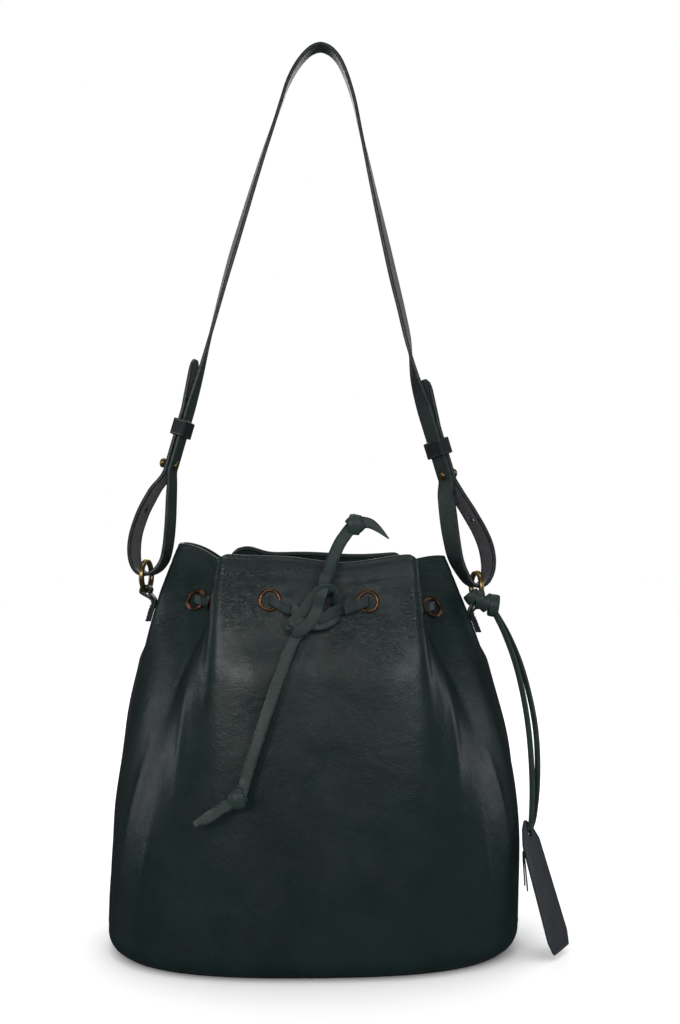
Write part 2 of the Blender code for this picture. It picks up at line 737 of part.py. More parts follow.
# The free ends of the drawstring, and the tag's lace: chosen points in the bag's frame.
UPPER_TAIL = ((0.0073, -0.0905, 0.2580), (0.0100, -0.0850, 0.2650), (0.0135, -0.0803, 0.2745),
              (0.0175, -0.0775, 0.2835), (0.0215, -0.0762, 0.2898))
UPPER_STOPPER = (0.0283, -0.0750, 0.2976)
UPPER_END = ((0.0368, -0.0752, 0.2988), (0.0435, -0.0760, 0.2953), (0.0514, -0.0775, 0.2880))
LOWER_TAIL = ((-0.0095, -0.0930, 0.2265), (-0.0140, -0.0950, 0.2180), (-0.0190, -0.0975, 0.2050),
              (-0.0245, -0.1005, 0.1900), (-0.0300, -0.1032, 0.1740), (-0.0355, -0.1052, 0.1570),
              (-0.0410, -0.1066, 0.1400), (-0.0440, -0.1072, 0.1295))
LOWER_STOPPER = (-0.0480, -0.1098, 0.1205)
LOWER_END = ((-0.0565, -0.1090, 0.1152), (-0.0650, -0.1080, 0.1095), (-0.0765, -0.1075, 0.1035))
TAG_KNOT = (0.1225, -0.0150, 0.2438)
TAG_LACE_FRONT = ((0.1322, -0.0175, 0.2335), (0.1385, -0.0205, 0.2195), (0.1450, -0.0245, 0.2000),
                  (0.1498, -0.0285, 0.1780), (0.1530, -0.0320, 0.1550), (0.1545, -0.0350, 0.1320),
                  (0.1546, -0.0382, 0.1100), (0.1534, -0.0410, 0.0897))
TAG_LACE_BACK = ((0.1336, -0.0115, 0.2340), (0.1418, -0.0140, 0.2190), (0.1498, -0.0178, 0.1990),
                 (0.1555, -0.0218, 0.1770), (0.1590, -0.0258, 0.1550), (0.1600, -0.0290, 0.1330),
                 (0.1590, -0.0318, 0.1110), (0.1562, -0.0338, 0.0915))


def flat_end(name, points, finish):
    """The cut end of a lace beyond its knot, narrowing to a slanted point."""
    line = smooth_line(points, 3)
    bm = bmesh.new()
    rings = []
    for i, spot in enumerate(line):
        along = (line[min(i + 1, len(line) - 1)] - line[max(i - 1, 0)]).normalized()
        wide = Vector((0, -1, 0)).cross(along).normalized()
        across = along.cross(wide)
        share = i / (len(line) - 1)
        half = LACE_WIDTH / 2 * (1 - 0.75 * max(0.0, share - 0.55) / 0.45)
        ring = []
        for a, b in ((1, 1), (1, -1), (-1, -1), (-1, 1)):
            ring.append(bm.verts.new(spot + across * a * LACE_THICKNESS / 2 + wide * b * half))
        rings.append(ring)
    skin_tube(bm, rings)
    return add_object(name, bm, finish)


def make_drawstring(lace):
    upright_strip("drawstring", lace_route(), LACE_WIDTH, LACE_THICKNESS, lace)
    blob("lace_knot", knot_middle(), KNOT_HALF, lace)
    tube("lace_tail_upper", UPPER_TAIL, TAIL_RADIUS, 2, lace)
    tube("lace_tail_lower", LOWER_TAIL, TAIL_RADIUS, 2, lace)
    blob("stopper_knot_upper", Vector(UPPER_STOPPER), (0.0046, 0.0062, 0.0076), lace,
         Vector((1, 0, 0.45)))
    blob("stopper_knot_lower", Vector(LOWER_STOPPER), (0.0044, 0.0060, 0.0068), lace,
         Vector((1, 0, 0.55)))
    flat_end("lace_end_upper", UPPER_END, lace)
    flat_end("lace_end_lower", LOWER_END, lace)


# ---- hang tag ----

TAG_TOP = Vector((0.1490, -0.0400, 0.0910))
TAG_FOOT = Vector((0.1722, -0.0500, 0.0040))
TAG_HALF_WIDTH = 0.017
TAG_THICKNESS = 0.0024
TAG_ACROSS = Vector((0.52, 0.85, 0.12))


def tag_outline():
    """The tag's outline: (across, along) with a pointed top, slightly flared sides and clipped feet."""
    length = (TAG_FOOT - TAG_TOP).length
    half = TAG_HALF_WIDTH
    return ((0, 0), (0.42 * half, 0.05 * length), (0.82 * half, 0.17 * length), (0.9 * half, 0.5 * length),
            (half, 0.9 * length), (0.78 * half, length), (-0.78 * half, length), (-half, 0.9 * length),
            (-0.9 * half, 0.5 * length), (-0.82 * half, 0.17 * length), (-0.42 * half, 0.05 * length))


def tag_frame():
    down = (TAG_FOOT - TAG_TOP).normalized()
    across = (TAG_ACROSS - down * TAG_ACROSS.dot(down)).normalized()
    return down, across, down.cross(across)


def make_tag(leather, lace, thread):
    down, across, face = tag_frame()
    bm = bmesh.new()
    loops = []
    for off in (-0.5, 0.5):
        loop = []
        for a, d in tag_outline():
            loop.append(bm.verts.new(TAG_TOP + across * a + down * d + face * off * TAG_THICKNESS))
        loops.append(loop)
    count = len(loops[0])
    for i in range(count):
        j = (i + 1) % count
        bm.faces.new((loops[0][i], loops[0][j], loops[1][j], loops[1][i]))
    bm.faces.new(loops[0])
    bm.faces.new(loops[1])
    tag = add_object("hang_tag", bm, leather)
    drill(tag, TAG_TOP + down * 0.0095, face, 0.0024, 0.004, 12)
    blob("tag_knot", Vector(TAG_KNOT), (0.0036, 0.0054, 0.0120), lace, Vector((1, 0, -0.35)))
    tube("tag_lace_front", TAG_LACE_FRONT, 0.0019, 2, lace)
    tube("tag_lace_back", TAG_LACE_BACK, 0.0019, 2, lace)
    make_thread(down, across, face, thread)


def make_thread(down, across, face, thread):
    """Two waxed tails of the sewing thread, knotted off at the tag's front edge."""
    start = TAG_TOP - across * (TAG_HALF_WIDTH * 0.82 + 0.0016) + down * 0.018
    drop = Vector((0.08, 0, -1)).normalized()
    side = Vector((0.35, -1, 0)).normalized()
    points = [start + side * 0.0016 + drop * 0.027, start + side * 0.0014 + drop * 0.013,
              start + side * 0.0009 + drop * 0.004, start, start - side * 0.0009 + drop * 0.004,
              start - side * 0.0012 + drop * 0.012, start - side * 0.0017 + drop * 0.024]
    tube("tag_thread", points, 0.0005, 2, thread)


def main():
    clear_scene()
    leather = material("green_leather", (0.012, 0.022, 0.021), 0.34)
    strap_leather = material("strap_leather", (0.030, 0.038, 0.038), 0.42)
    lace_leather = material("lace_leather", (0.022, 0.034, 0.034), 0.45)
    brass = material("aged_brass", (0.30, 0.20, 0.085), 0.30, 1.0)
    lining_cloth = material("lining_cloth", (0.16, 0.15, 0.14), 0.9)
    board = material("base_board", (0.10, 0.08, 0.06), 0.9)
    thread = material("waxed_thread", (0.006, 0.007, 0.007), 0.6)
    make_body(leather, lining_cloth, board)
    make_eyelets(brass)
    make_rings(brass, leather)
    make_strap(strap_leather, brass)
    make_drawstring(lace_leather)
    make_tag(strap_leather, lace_leather, thread)


main()
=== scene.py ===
"""Looks of a drawstring bucket bag in dark green leather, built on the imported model's frame.

Metres, +Z up, the bag's front faces -Y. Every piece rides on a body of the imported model.
"""

import math

import bmesh
import bpy
import numpy as np
from mathutils import Matrix, Vector


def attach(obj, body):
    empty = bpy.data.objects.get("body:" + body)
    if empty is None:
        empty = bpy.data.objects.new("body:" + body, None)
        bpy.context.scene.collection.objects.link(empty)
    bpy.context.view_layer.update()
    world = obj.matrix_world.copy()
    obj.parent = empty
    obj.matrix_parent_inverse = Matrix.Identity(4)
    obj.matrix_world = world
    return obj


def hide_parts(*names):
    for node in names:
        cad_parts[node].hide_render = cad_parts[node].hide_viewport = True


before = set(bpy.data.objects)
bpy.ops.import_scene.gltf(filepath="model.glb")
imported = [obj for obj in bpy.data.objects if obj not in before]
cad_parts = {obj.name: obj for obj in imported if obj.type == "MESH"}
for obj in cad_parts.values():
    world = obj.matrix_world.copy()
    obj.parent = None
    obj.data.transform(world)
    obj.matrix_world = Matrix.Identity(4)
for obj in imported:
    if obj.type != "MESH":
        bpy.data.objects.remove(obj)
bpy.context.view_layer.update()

# ---- camera ----

camera_data = bpy.data.cameras.new("camera")
camera_data.lens = 46.2
camera_data.sensor_width = 36
camera = bpy.data.objects.new("camera", camera_data)
bpy.context.collection.objects.link(camera)
camera.location = (-0.0057, -0.9624, 0.2819)
camera.rotation_euler = (math.radians(91.56), 0, math.radians(-1.56))
bpy.context.scene.camera = camera

# ---- the bag's shape, as the CAD part draws it ----

BASE_HALF_WIDTH = 0.146
BASE_HALF_DEPTH = 0.1035
BASE_EXPONENT = 2.6
WALL_FOOT_Z = 0.0016
TUCK_RADIUS = 0.014
GATHER_START_Z = 0.05
GATHER_FULL_Z = 0.28
GATHER_POWER = 2.0
LEAN_X = 0.0038
LOBE_SHIFT = ((0.0, 0.38, 0.6, 0.9, 1.0), (0.0038, 0.0038, 0.001, -0.0018, -0.0018))
RIM_FRONT_Z = 0.2782
RIM_PLEAT_Z = 0.268
RIM_LEFT_Z = 0.286
RIM_RIGHT_Z = 0.277
RIM_CORNERS = ((0.0, 0.071), (0.0747, 0.0715), (0.040, 0.028), (0.097, 0.009), (0.097, 0.0))
RIM_RADII = (0.0, 0.006, 0.005, 0.008, 0.0)
LEATHER = 0.0016
GAP = 0.00035
SEAM_HALF_GAP = 0.0075
FACING_DEPTH = 0.055
EYELET_Z = {-1: (0.2468, 0.2455, 0.2449), 1: (0.2457, 0.2425, 0.2396)}
EYELET_PLACES = {-1: (0.168, 0.49, 0.745), 1: (0.181, 0.49, 0.748)}
EYELET_STAND_OFF = (0.0004, 0.0013, 0.0010)
EYELET_BORE = 0.0057
EYELET_BARREL = 0.0062
EYELET_FLANGE = 0.0080
RING_X = 0.1206
RING_Z = {-1: 0.2615, 1: 0.2532}
RING_RADIUS = 0.0106
RING_TURN = math.radians(13)
VISIBLE_WIRE = 0.0020
TAB_FOOT_Z = {-1: 0.2285, 1: 0.2202}
STRAP_WIDTH = 0.0165
STRAP_THICKNESS = 0.0026
LAYER_STEP = 0.0031
STRAP_SLOPE = {-1: 0.286, 1: 0.300}
STRAP_LINE_X = {-1: 0.0950, 1: 0.0888}
STRAP_LINE_Z = 0.363
STUD_Z = {-1: 0.342, 1: 0.335}
KEEPER_Z = {-1: 0.3686, 1: 0.3547}
TIP_Z = {-1: 0.418, 1: 0.404}
STUD_TURN = {-1: -14, 1: -30}
TIP_SPREAD = 0.1
KEEPER_TRAVEL = 0.014
SPARE_HOLE = 3
STRAIGHT_PLACES = ((0.3550, 1.0), (0.3700, 1.0), (0.3850, 1.0), (0.4070, 0.4))
LOOP_PLACES = {
    -1: ((0.1075, 0.3330, -17), (0.1140, 0.3248, -22), (0.1186, 0.3168, -24), (0.1224, 0.3095, -24),
         (0.1253, 0.3022, -24), (0.1285, 0.2915, -24), (0.1297, 0.2803, -24), (0.1285, 0.2705, -20),
         (0.1253, 0.2648, -16), (0.1206, 0.2628, -14), (0.1155, 0.2640, -14), (0.1110, 0.2674, -15),
         (0.1074, 0.2730, -16), (0.1054, 0.2810, -17), (0.1041, 0.2910, -18), (0.1032, 0.3040, -18),
         (0.1027, 0.3180, -17), (0.1023, 0.3280, -15)),
    1: ((0.1048, 0.3244, -31), (0.1095, 0.3170, -32), (0.1142, 0.3097, -33), (0.1186, 0.3023, -33),
        (0.1227, 0.2950, -33), (0.1275, 0.2835, -33), (0.1295, 0.2725, -30), (0.1290, 0.2640, -24),
        (0.1258, 0.2567, -17), (0.1203, 0.2539, -14), (0.1152, 0.2565, -16), (0.1110, 0.2625, -22),
        (0.1075, 0.2690, -28), (0.1049, 0.2760, -34), (0.1030, 0.2850, -38), (0.1012, 0.2960, -41),
        (0.0996, 0.3090, -41), (0.0983, 0.3220, -36)),
}
TOP_PLACES = {
    -1: ((0.0755, 0.4343, 5), (0.0639, 0.4786, 14), (0.0576, 0.5008, 17), (0.0510, 0.5230, 16),
         (0.0374, 0.5676, 12), (0.0300, 0.5900, 9), (0.0225, 0.6124, 4), (0.0187, 0.6236, 2),
         (0.0136, 0.6342, 0), (0.0073, 0.6434, 0), (0.0008, 0.6496, 0)),
    1: ((0.0705, 0.4349, 16), (0.0657, 0.4571, 20), (0.0604, 0.4793, 22), (0.0504, 0.5237, 18),
        (0.0454, 0.5460, 14), (0.0406, 0.5683, 10), (0.0357, 0.5906, 5), (0.0308, 0.6129, 2),
        (0.0238, 0.6342, 0), (0.0190, 0.6434, 0), (0.0130, 0.6496, 0)),
}
STRAP_TOP = Vector((0.006, 0, 0.6520))
LACE_WIDTH = 0.0068
LACE_THICKNESS = 0.0018
KNOT_HALF = (0.0165, 0.0062, 0.0135)
KNOT_Z = 0.2405
UPPER_TAIL = ((0.0073, -0.0905, 0.2580), (0.0100, -0.0850, 0.2650), (0.0135, -0.0803, 0.2745),
              (0.0175, -0.0775, 0.2835), (0.0215, -0.0762, 0.2898))
UPPER_STOPPER = (0.0283, -0.0750, 0.2976)
UPPER_END = ((0.0368, -0.0752, 0.2988), (0.0435, -0.0760, 0.2953), (0.0514, -0.0775, 0.2880))
LOWER_TAIL = ((-0.0095, -0.0930, 0.2265), (-0.0140, -0.0950, 0.2180), (-0.0190, -0.0975, 0.2050),
              (-0.0245, -0.1005, 0.1900), (-0.0300, -0.1032, 0.1740), (-0.0355, -0.1052, 0.1570),
              (-0.0410, -0.1066, 0.1400), (-0.0440, -0.1072, 0.1295))
LOWER_STOPPER = (-0.0480, -0.1098, 0.1205)
LOWER_END = ((-0.0565, -0.1090, 0.1152), (-0.0650, -0.1080, 0.1095), (-0.0765, -0.1075, 0.1035))
TAG_KNOT = (0.1225, -0.0150, 0.2438)
TAG_LACE_FRONT = ((0.1322, -0.0175, 0.2335), (0.1385, -0.0205, 0.2195), (0.1450, -0.0245, 0.2000),
                  (0.1498, -0.0285, 0.1780), (0.1530, -0.0320, 0.1550), (0.1545, -0.0350, 0.1320),
                  (0.1546, -0.0382, 0.1100), (0.1534, -0.0410, 0.0897))
TAG_LACE_BACK = ((0.1336, -0.0115, 0.2340), (0.1418, -0.0140, 0.2190), (0.1498, -0.0178, 0.1990),
                 (0.1555, -0.0218, 0.1770), (0.1590, -0.0258, 0.1550), (0.1600, -0.0290, 0.1330),
                 (0.1590, -0.0318, 0.1110), (0.1562, -0.0338, 0.0915))
TAG_TOP = Vector((0.1490, -0.0400, 0.0910))
TAG_FOOT = Vector((0.1722, -0.0500, 0.0040))
TAG_HALF_WIDTH = 0.017
TAG_THICKNESS = 0.0024
TAG_ACROSS = Vector((0.52, 0.85, 0.12))


def by_length(points):
    points = np.array(points, float)
    along = np.concatenate([[0.0], np.cumsum(np.linalg.norm(np.diff(points, axis=0), axis=1))])
    return along / along[-1], points


def superellipse_quarter(half_width, half_depth, exponent, count=600):
    angles = np.linspace(0, math.pi / 2, count)
    x = half_width * np.sin(angles) ** (2 / exponent)
    y = half_depth * np.cos(angles) ** (2 / exponent)
    return by_length(np.stack([x, y], axis=1))


def rounded_line(corners, radii, steps=14):
    points = [corners[0]]
    for before, here, after, radius in zip(corners, corners[1:], corners[2:], radii[1:]):
        here = Vector(here)
        back = (Vector(before) - here).normalized()
        on = (Vector(after) - here).normalized()
        half = back.angle(on) / 2
        centre = here + (back + on).normalized() * radius / math.sin(half)
        start = here + back * radius / math.tan(half) - centre
        end = here + on * radius / math.tan(half) - centre
        sweep = start.angle_signed(end)
        for i in range(steps + 1):
            points.append(tuple(centre + Matrix.Rotation(-sweep * i / steps, 2) @ start))
    points.append(corners[-1])
    return by_length(points)


def closed_line(line, count=2400):
    """A quarter line mirrored into a full ring of points, one for each step of turn from 0 to 4."""
    turns = np.arange(count) * 4 / count
    part = turns % 2
    share = np.where(part <= 1, part, 2 - part)
    side = np.where(turns < 2, 1, -1)
    face = np.where((turns > 1) & (turns < 3), 1, -1)
    along, points = line
    x = np.interp(share, along, points[:, 0]) * side
    y = np.interp(share, along, points[:, 1]) * face
    return np.stack([x, y], axis=1)


def smoothed(ring, sigma):
    """A ring of points blurred along its length; sigma is in turns."""
    if sigma == 0:
        return ring
    frequency = np.fft.fftfreq(len(ring), d=4 / len(ring))
    keep = np.exp(-2 * (math.pi * sigma * frequency) ** 2)
    return np.real(np.fft.ifft(np.fft.fft(ring, axis=0) * keep[:, None], axis=0))


BASE_RING = closed_line(superellipse_quarter(BASE_HALF_WIDTH, BASE_HALF_DEPTH, BASE_EXPONENT))
RIM_RING = closed_line(rounded_line(RIM_CORNERS, RIM_RADII))
SIGMAS = (0.0, 0.012, 0.025, 0.045, 0.07)
RIM_RINGS = [smoothed(RIM_RING, sigma) for sigma in SIGMAS]


def read_ring(ring, turn):
    count = len(ring)
    place = (np.asarray(turn) % 4) * count / 4
    low = np.floor(place).astype(int) % count
    high = (low + 1) % count
    part = (place - np.floor(place))[..., None]
    return ring[low] * (1 - part) + ring[high] * part


def smooth_step(low, high, value):
    t = np.clip((value - low) / (high - low), 0, 1)
    return t * t * (3 - 2 * t)


def share_of(turn):
    part = np.asarray(turn) % 2
    return np.where(part <= 1, part, 2 - part)


def outline(turn, z):
    """The wall's plan at a height, its folds softer the lower they are."""
    turn, z = np.broadcast_arrays(np.asarray(turn, float), np.asarray(z, float))
    drawn = np.clip((z - GATHER_START_Z) / (GATHER_FULL_Z - GATHER_START_Z), 0, None) ** GATHER_POWER
    level = (1 - smooth_step(0.085, 0.236, z)) * (len(SIGMAS) - 1)
    rim = np.zeros(turn.shape + (2,))
    for k, ring in enumerate(RIM_RINGS):
        weight = np.clip(1 - np.abs(level - k), 0, 1)
        rim += read_ring(ring, turn) * weight[..., None]
    flat = read_ring(BASE_RING, turn) * (1 - drawn)[..., None] + rim * drawn[..., None]
    lean = LEAN_X * np.sin(math.pi * np.clip((z + 0.02) / 0.27, 0, 1))
    lobe = drawn * np.interp(share_of(turn), *LOBE_SHIFT)
    flat[..., 0] += lean + lobe
    return flat


def tuck(z):
    foot = np.clip(np.asarray(z, float), 0, TUCK_RADIUS)
    return TUCK_RADIUS * (1 - np.sqrt(1 - ((TUCK_RADIUS - foot) / TUCK_RADIUS) ** 2))


def wall(turn, z, inset=0.0):
    """Points on the wall, moved inwards by inset, as an array with x, y, z last."""
    turn, z = np.broadcast_arrays(np.asarray(turn, float), np.asarray(z, float))
    step = 0.004
    along = outline(turn + step, z) - outline(turn - step, z)
    out = np.stack([along[..., 1], -along[..., 0]], axis=-1) / np.linalg.norm(along, axis=-1)[..., None]
    flat = outline(turn, z) - out * (inset + tuck(z))[..., None]
    return np.concatenate([flat, z[..., None]], axis=-1)


def wall_point(turn, z, inset=0.0):
    return Vector(wall(turn, z, inset))


def wall_normal(turn, z):
    across = wall_point(turn + 0.02, z) - wall_point(turn - 0.02, z)
    up = wall_point(turn, z + 0.004) - wall_point(turn, z - 0.004)
    return across.cross(up).normalized()


def rim_z(turn):
    turn = np.asarray(turn, float)
    share = share_of(turn)
    side_rim = np.where((turn % 4) < 2, RIM_RIGHT_Z, RIM_LEFT_Z)
    down = smooth_step(0.33, 0.44, share)
    up = smooth_step(0.62, 0.97, share)
    from_front = (turn + 2) % 4 - 2
    dip = 0.0066 * np.exp(-((from_front - 0.074) / 0.174) ** 2)
    hump = 0.0050 * np.exp(-((turn % 4 - 2.298) / 0.07) ** 2)
    wave = 0.0006 * np.sin(turn * 9.1 + 0.7) + 0.0005 * np.sin(turn * 15.3 + 2.0)
    level = RIM_FRONT_Z + (RIM_PLEAT_Z - RIM_FRONT_Z) * down + (side_rim - RIM_PLEAT_Z) * up
    return level + wave - dip + hump


def eyelet(side, face, number):
    share = EYELET_PLACES[side][number]
    turn = (share if face < 0 else 2 - share) if side > 0 else (4 - share if face < 0 else 2 + share)
    z = EYELET_Z[side][number]
    return wall_point(turn, z), wall_normal(turn, z), EYELET_STAND_OFF[number]


ALL_EYELETS = [(side, face, number) for face in (-1, 1) for side in (1, -1) for number in range(3)]


def eyelet_name(side, face, number):
    return f"eyelet_{'front' if face < 0 else 'back'}_{'right' if side > 0 else 'left'}_{number + 1}"


# ---- materials ----

class Nodes:
    """A material's node tree, with short ways to add what these materials use."""

    def __init__(self, name):
        self.made = bpy.data.materials.new(name)
        self.made.use_nodes = True
        self.tree = self.made.node_tree
        self.shader = self.tree.nodes["Principled BSDF"]
        self.place = self.tree.nodes.new("ShaderNodeTexCoord").outputs["Object"]

    def link(self, source, target):
        self.tree.links.new(source, target)

    def noise(self, scale, detail=3, rough=0.5, stretch=None, distortion=0.0):
        node = self.tree.nodes.new("ShaderNodeTexNoise")
        node.inputs["Scale"].default_value = scale
        node.inputs["Detail"].default_value = detail
        node.inputs["Roughness"].default_value = rough
        node.inputs["Distortion"].default_value = distortion
        self.link(self.stretched(stretch), node.inputs["Vector"])
        return node.outputs["Fac"]

    def stretched(self, stretch):
        if stretch is None:
            return self.place
        node = self.tree.nodes.new("ShaderNodeMapping")
        node.inputs["Scale"].default_value = stretch
        self.link(self.place, node.inputs["Vector"])
        return node.outputs["Vector"]

    def cells(self, scale, feature="F1", stretch=None):
        node = self.tree.nodes.new("ShaderNodeTexVoronoi")
        node.feature = feature
        node.inputs["Scale"].default_value = scale
        self.link(self.stretched(stretch), node.inputs["Vector"])
        return node.outputs["Distance"]

    def wave(self, scale, direction="X", distortion=0.0):
        node = self.tree.nodes.new("ShaderNodeTexWave")
        node.bands_direction = direction
        node.inputs["Scale"].default_value = scale
        node.inputs["Distortion"].default_value = distortion
        node.inputs["Detail"].default_value = 1
        self.link(self.place, node.inputs["Vector"])
        return node.outputs["Fac"]

    def map(self, value, low, high, to_low, to_high):
        node = self.tree.nodes.new("ShaderNodeMapRange")
        node.inputs["From Min"].default_value = low
        node.inputs["From Max"].default_value = high
        node.inputs["To Min"].default_value = to_low
        node.inputs["To Max"].default_value = to_high
        self.link(value, node.inputs["Value"])
        return node.outputs["Result"]

    def math(self, kind, first, second):
        node = self.tree.nodes.new("ShaderNodeMath")
        node.operation = kind
        for slot, value in zip(node.inputs, (first, second)):
            if isinstance(value, (int, float)):
                slot.default_value = value
            else:
                self.link(value, slot)
        return node.outputs["Value"]

    def mix(self, share, first, second):
        node = self.tree.nodes.new("ShaderNodeMix")
        node.data_type = "RGBA"
        sockets = [s for s in node.inputs if s.type == "RGBA"]
        for slot, value in zip(sockets, (first, second)):
            if isinstance(value, tuple):
                slot.default_value = (*value, 1)
            else:
                self.link(value, slot)
        self.link(share, node.inputs["Factor"])
        return next(s for s in node.outputs if s.type == "RGBA")

    def bump(self, height, distance, strength=1.0, under=None):
        node = self.tree.nodes.new("ShaderNodeBump")
        node.inputs["Strength"].default_value = strength
        node.inputs["Distance"].default_value = distance
        self.link(height, node.inputs["Height"])
        if under is not None:
            self.link(under, node.inputs["Normal"])
        return node.outputs["Normal"]

    def part(self, axis):
        node = self.tree.nodes.new("ShaderNodeSeparateXYZ")
        self.link(self.place, node.inputs["Vector"])
        return node.outputs[axis]

    def pointiness(self):
        return self.tree.nodes.new("ShaderNodeNewGeometry").outputs["Pointiness"]

    def set(self, **values):
        for name, value in values.items():
            slot = self.shader.inputs[name.replace("_", " ")]
            if isinstance(value, (int, float)):
                slot.default_value = value
            elif isinstance(value, tuple):
                slot.default_value = (*value, 1)
            else:
                self.link(value, slot)
        return self.made


def leather(name, dark, light, rough, grain=1.0, crease_from=None, coat=0.25, pull=None):
    """Finished leather: mottled dye, fine pebble grain, pores, and creases where it is drawn up."""
    n = Nodes(name)
    mottle = n.map(n.noise(24, 5, 0.62, distortion=0.6), 0.32, 0.68, 0, 1)
    colour = n.mix(mottle, dark, light)
    worn = n.map(n.pointiness(), 0.53, 0.62, 0, 0.20)
    rubbed = tuple(min(1.0, c * 2.1 + 0.004) for c in light)
    colour = n.mix(worn, colour, rubbed)
    if pull is not None:
        patch = n.map(n.noise(9, 3, 0.55), 0.52, 0.72, 0, 0.75)
        colour = n.mix(patch, colour, pull)
    pebble = n.map(n.cells(1150, "SMOOTH_F1"), 0.0, 0.75, 1, 0)
    pores = n.map(n.cells(620, "F1"), 0.0, 0.16, 0, 1)
    fine = n.noise(2600, 2, 0.5)
    height = n.math("ADD", n.math("MULTIPLY", pebble, 0.55), n.math("MULTIPLY", fine, 0.25))
    height = n.math("ADD", height, n.math("MULTIPLY", pores, 0.30))
    soft = n.noise(85, 4, 0.6)
    normal = n.bump(soft, 0.0011, 0.42)
    if crease_from is not None:
        lines = n.noise(150, 3, 0.6, stretch=(1.0, 1.0, 3.4), distortion=1.6)
        ridges = n.math("ABSOLUTE", n.math("SUBTRACT", lines, 0.5), 0)
        ridges = n.map(ridges, 0.0, 0.06, 0, 1)
        low, high = crease_from
        where = n.map(n.part("Z"), low, high, 0, 1)
        where = n.math("MULTIPLY", where, n.map(n.noise(28, 2), 0.42, 0.62, 0, 1))
        shown = n.math("ADD", n.math("MULTIPLY", n.math("SUBTRACT", ridges, 1), where), 1)
        normal = n.bump(shown, 0.00024, 0.6, normal)
    normal = n.bump(height, 0.00016 * grain, 0.55, normal)
    roughness = n.map(n.noise(48, 4, 0.6), 0.3, 0.7, rough - 0.06, rough + 0.09)
    roughness = n.math("ADD", roughness, n.map(pores, 0, 1, 0.10, 0))
    return n.set(Base_Color=colour, Roughness=roughness, Normal=normal, Coat_Weight=coat,
                 Coat_Roughness=0.24, Specular_IOR_Level=0.5)


def flesh(name, dark, light):
    """The back of finished leather: sealed fibres, matt and slightly streaked."""
    n = Nodes(name)
    fibre = n.noise(420, 6, 0.7, stretch=(1, 1, 0.35))
    colour = n.mix(n.map(n.noise(60, 5, 0.65), 0.3, 0.7, 0, 1), dark, light)
    colour = n.mix(n.map(fibre, 0.45, 0.75, 0, 0.5), colour, tuple(c * 1.6 for c in light))
    normal = n.bump(fibre, 0.00035, 0.6)
    return n.set(Base_Color=colour, Roughness=n.map(fibre, 0.2, 0.8, 0.5, 0.72), Normal=normal,
                 Sheen_Weight=0.12)


def edge_paint(name, colour):
    """Painted cut edges: smooth, glossy, with slight waves."""
    n = Nodes(name)
    wavy = n.noise(260, 2, 0.5)
    tint = n.mix(n.map(wavy, 0.35, 0.65, 0, 1), colour, tuple(c * 1.7 + 0.002 for c in colour))
    return n.set(Base_Color=tint, Roughness=n.map(n.noise(700, 2), 0.3, 0.7, 0.26, 0.42),
                 Normal=n.bump(wavy, 0.0003, 0.5))


def brass(name, bright, patina, rough, amount):
    """Aged brass: bright where rubbed, brown patina in hollows, fine scratches."""
    n = Nodes(name)
    blotch = n.noise(420, 5, 0.65, distortion=0.4)
    edges = n.map(n.pointiness(), 0.48, 0.54, 0, 1)
    cover = n.math("SUBTRACT", n.map(blotch, 0.40, 0.62, 0, amount), n.math("MULTIPLY", edges, 0.35))
    cover = n.map(cover, 0, 1, 0, 1)
    colour = n.mix(cover, bright, patina)
    scratch = n.noise(3000, 2, 0.6, stretch=(1, 1, 0.12))
    normal = n.bump(scratch, 0.00006, 0.45)
    normal = n.bump(blotch, 0.00012, 0.4, normal)
    roughness = n.math("ADD", n.map(cover, 0, 1, rough, rough + 0.26), n.map(scratch, 0.3, 0.7, 0, 0.06))
    return n.set(Base_Color=colour, Metallic=1.0, Roughness=roughness, Normal=normal)


def twill(name, dark, light):
    """Lining cloth: a fine twill of crossed ribs, its tone varying at random, with painted shade in the
    grooves between the ribs.
    """
    n = Nodes(name)
    warp = n.wave(620, "DIAGONAL")
    weft = n.wave(760, "Z")
    weave = n.math("MULTIPLY", warp, weft)
    tone_mottle = n.map(n.noise(30, 4, 0.6), 0.3, 0.7, 0, 1)
    colour = n.mix(tone_mottle, dark, light)
    # Painted shade: the colour darkens where the weave is low, in the grooves between the ribs.
    colour = n.mix(n.map(weave, 0, 0.5, 0.45, 0), colour, tuple(c * 0.45 for c in dark))
    normal = n.bump(weave, 0.00022, 0.7)
    normal = n.bump(n.noise(40, 3), 0.0016, 0.5, normal)
    return n.set(Base_Color=colour, Roughness=n.map(weave, 0, 1, 0.92, 0.78), Normal=normal,
                 Sheen_Weight=0.25)


def thread_material(name, dark, light):
    """Twisted thread: fine slanting plies with a slight wax shine."""
    n = Nodes(name)
    ply = n.wave(900, "DIAGONAL", 0.6)
    colour = n.mix(n.map(ply, 0, 1, 0, 1), dark, light)
    return n.set(Base_Color=colour, Roughness=n.map(ply, 0, 1, 0.55, 0.42), Normal=n.bump(ply, 0.0002, 0.7))


def board_material(name):
    """Pressed fibre board: brown, speckled and matt."""
    n = Nodes(name)
    specks = n.noise(900, 6, 0.75)
    colour = n.mix(n.map(specks, 0.35, 0.7, 0, 1), (0.10, 0.075, 0.05), (0.24, 0.18, 0.12))
    rough = n.map(specks, 0.3, 0.7, 0.8, 0.95)
    return n.set(Base_Color=colour, Roughness=rough, Normal=n.bump(specks, 0.0003, 0.6))


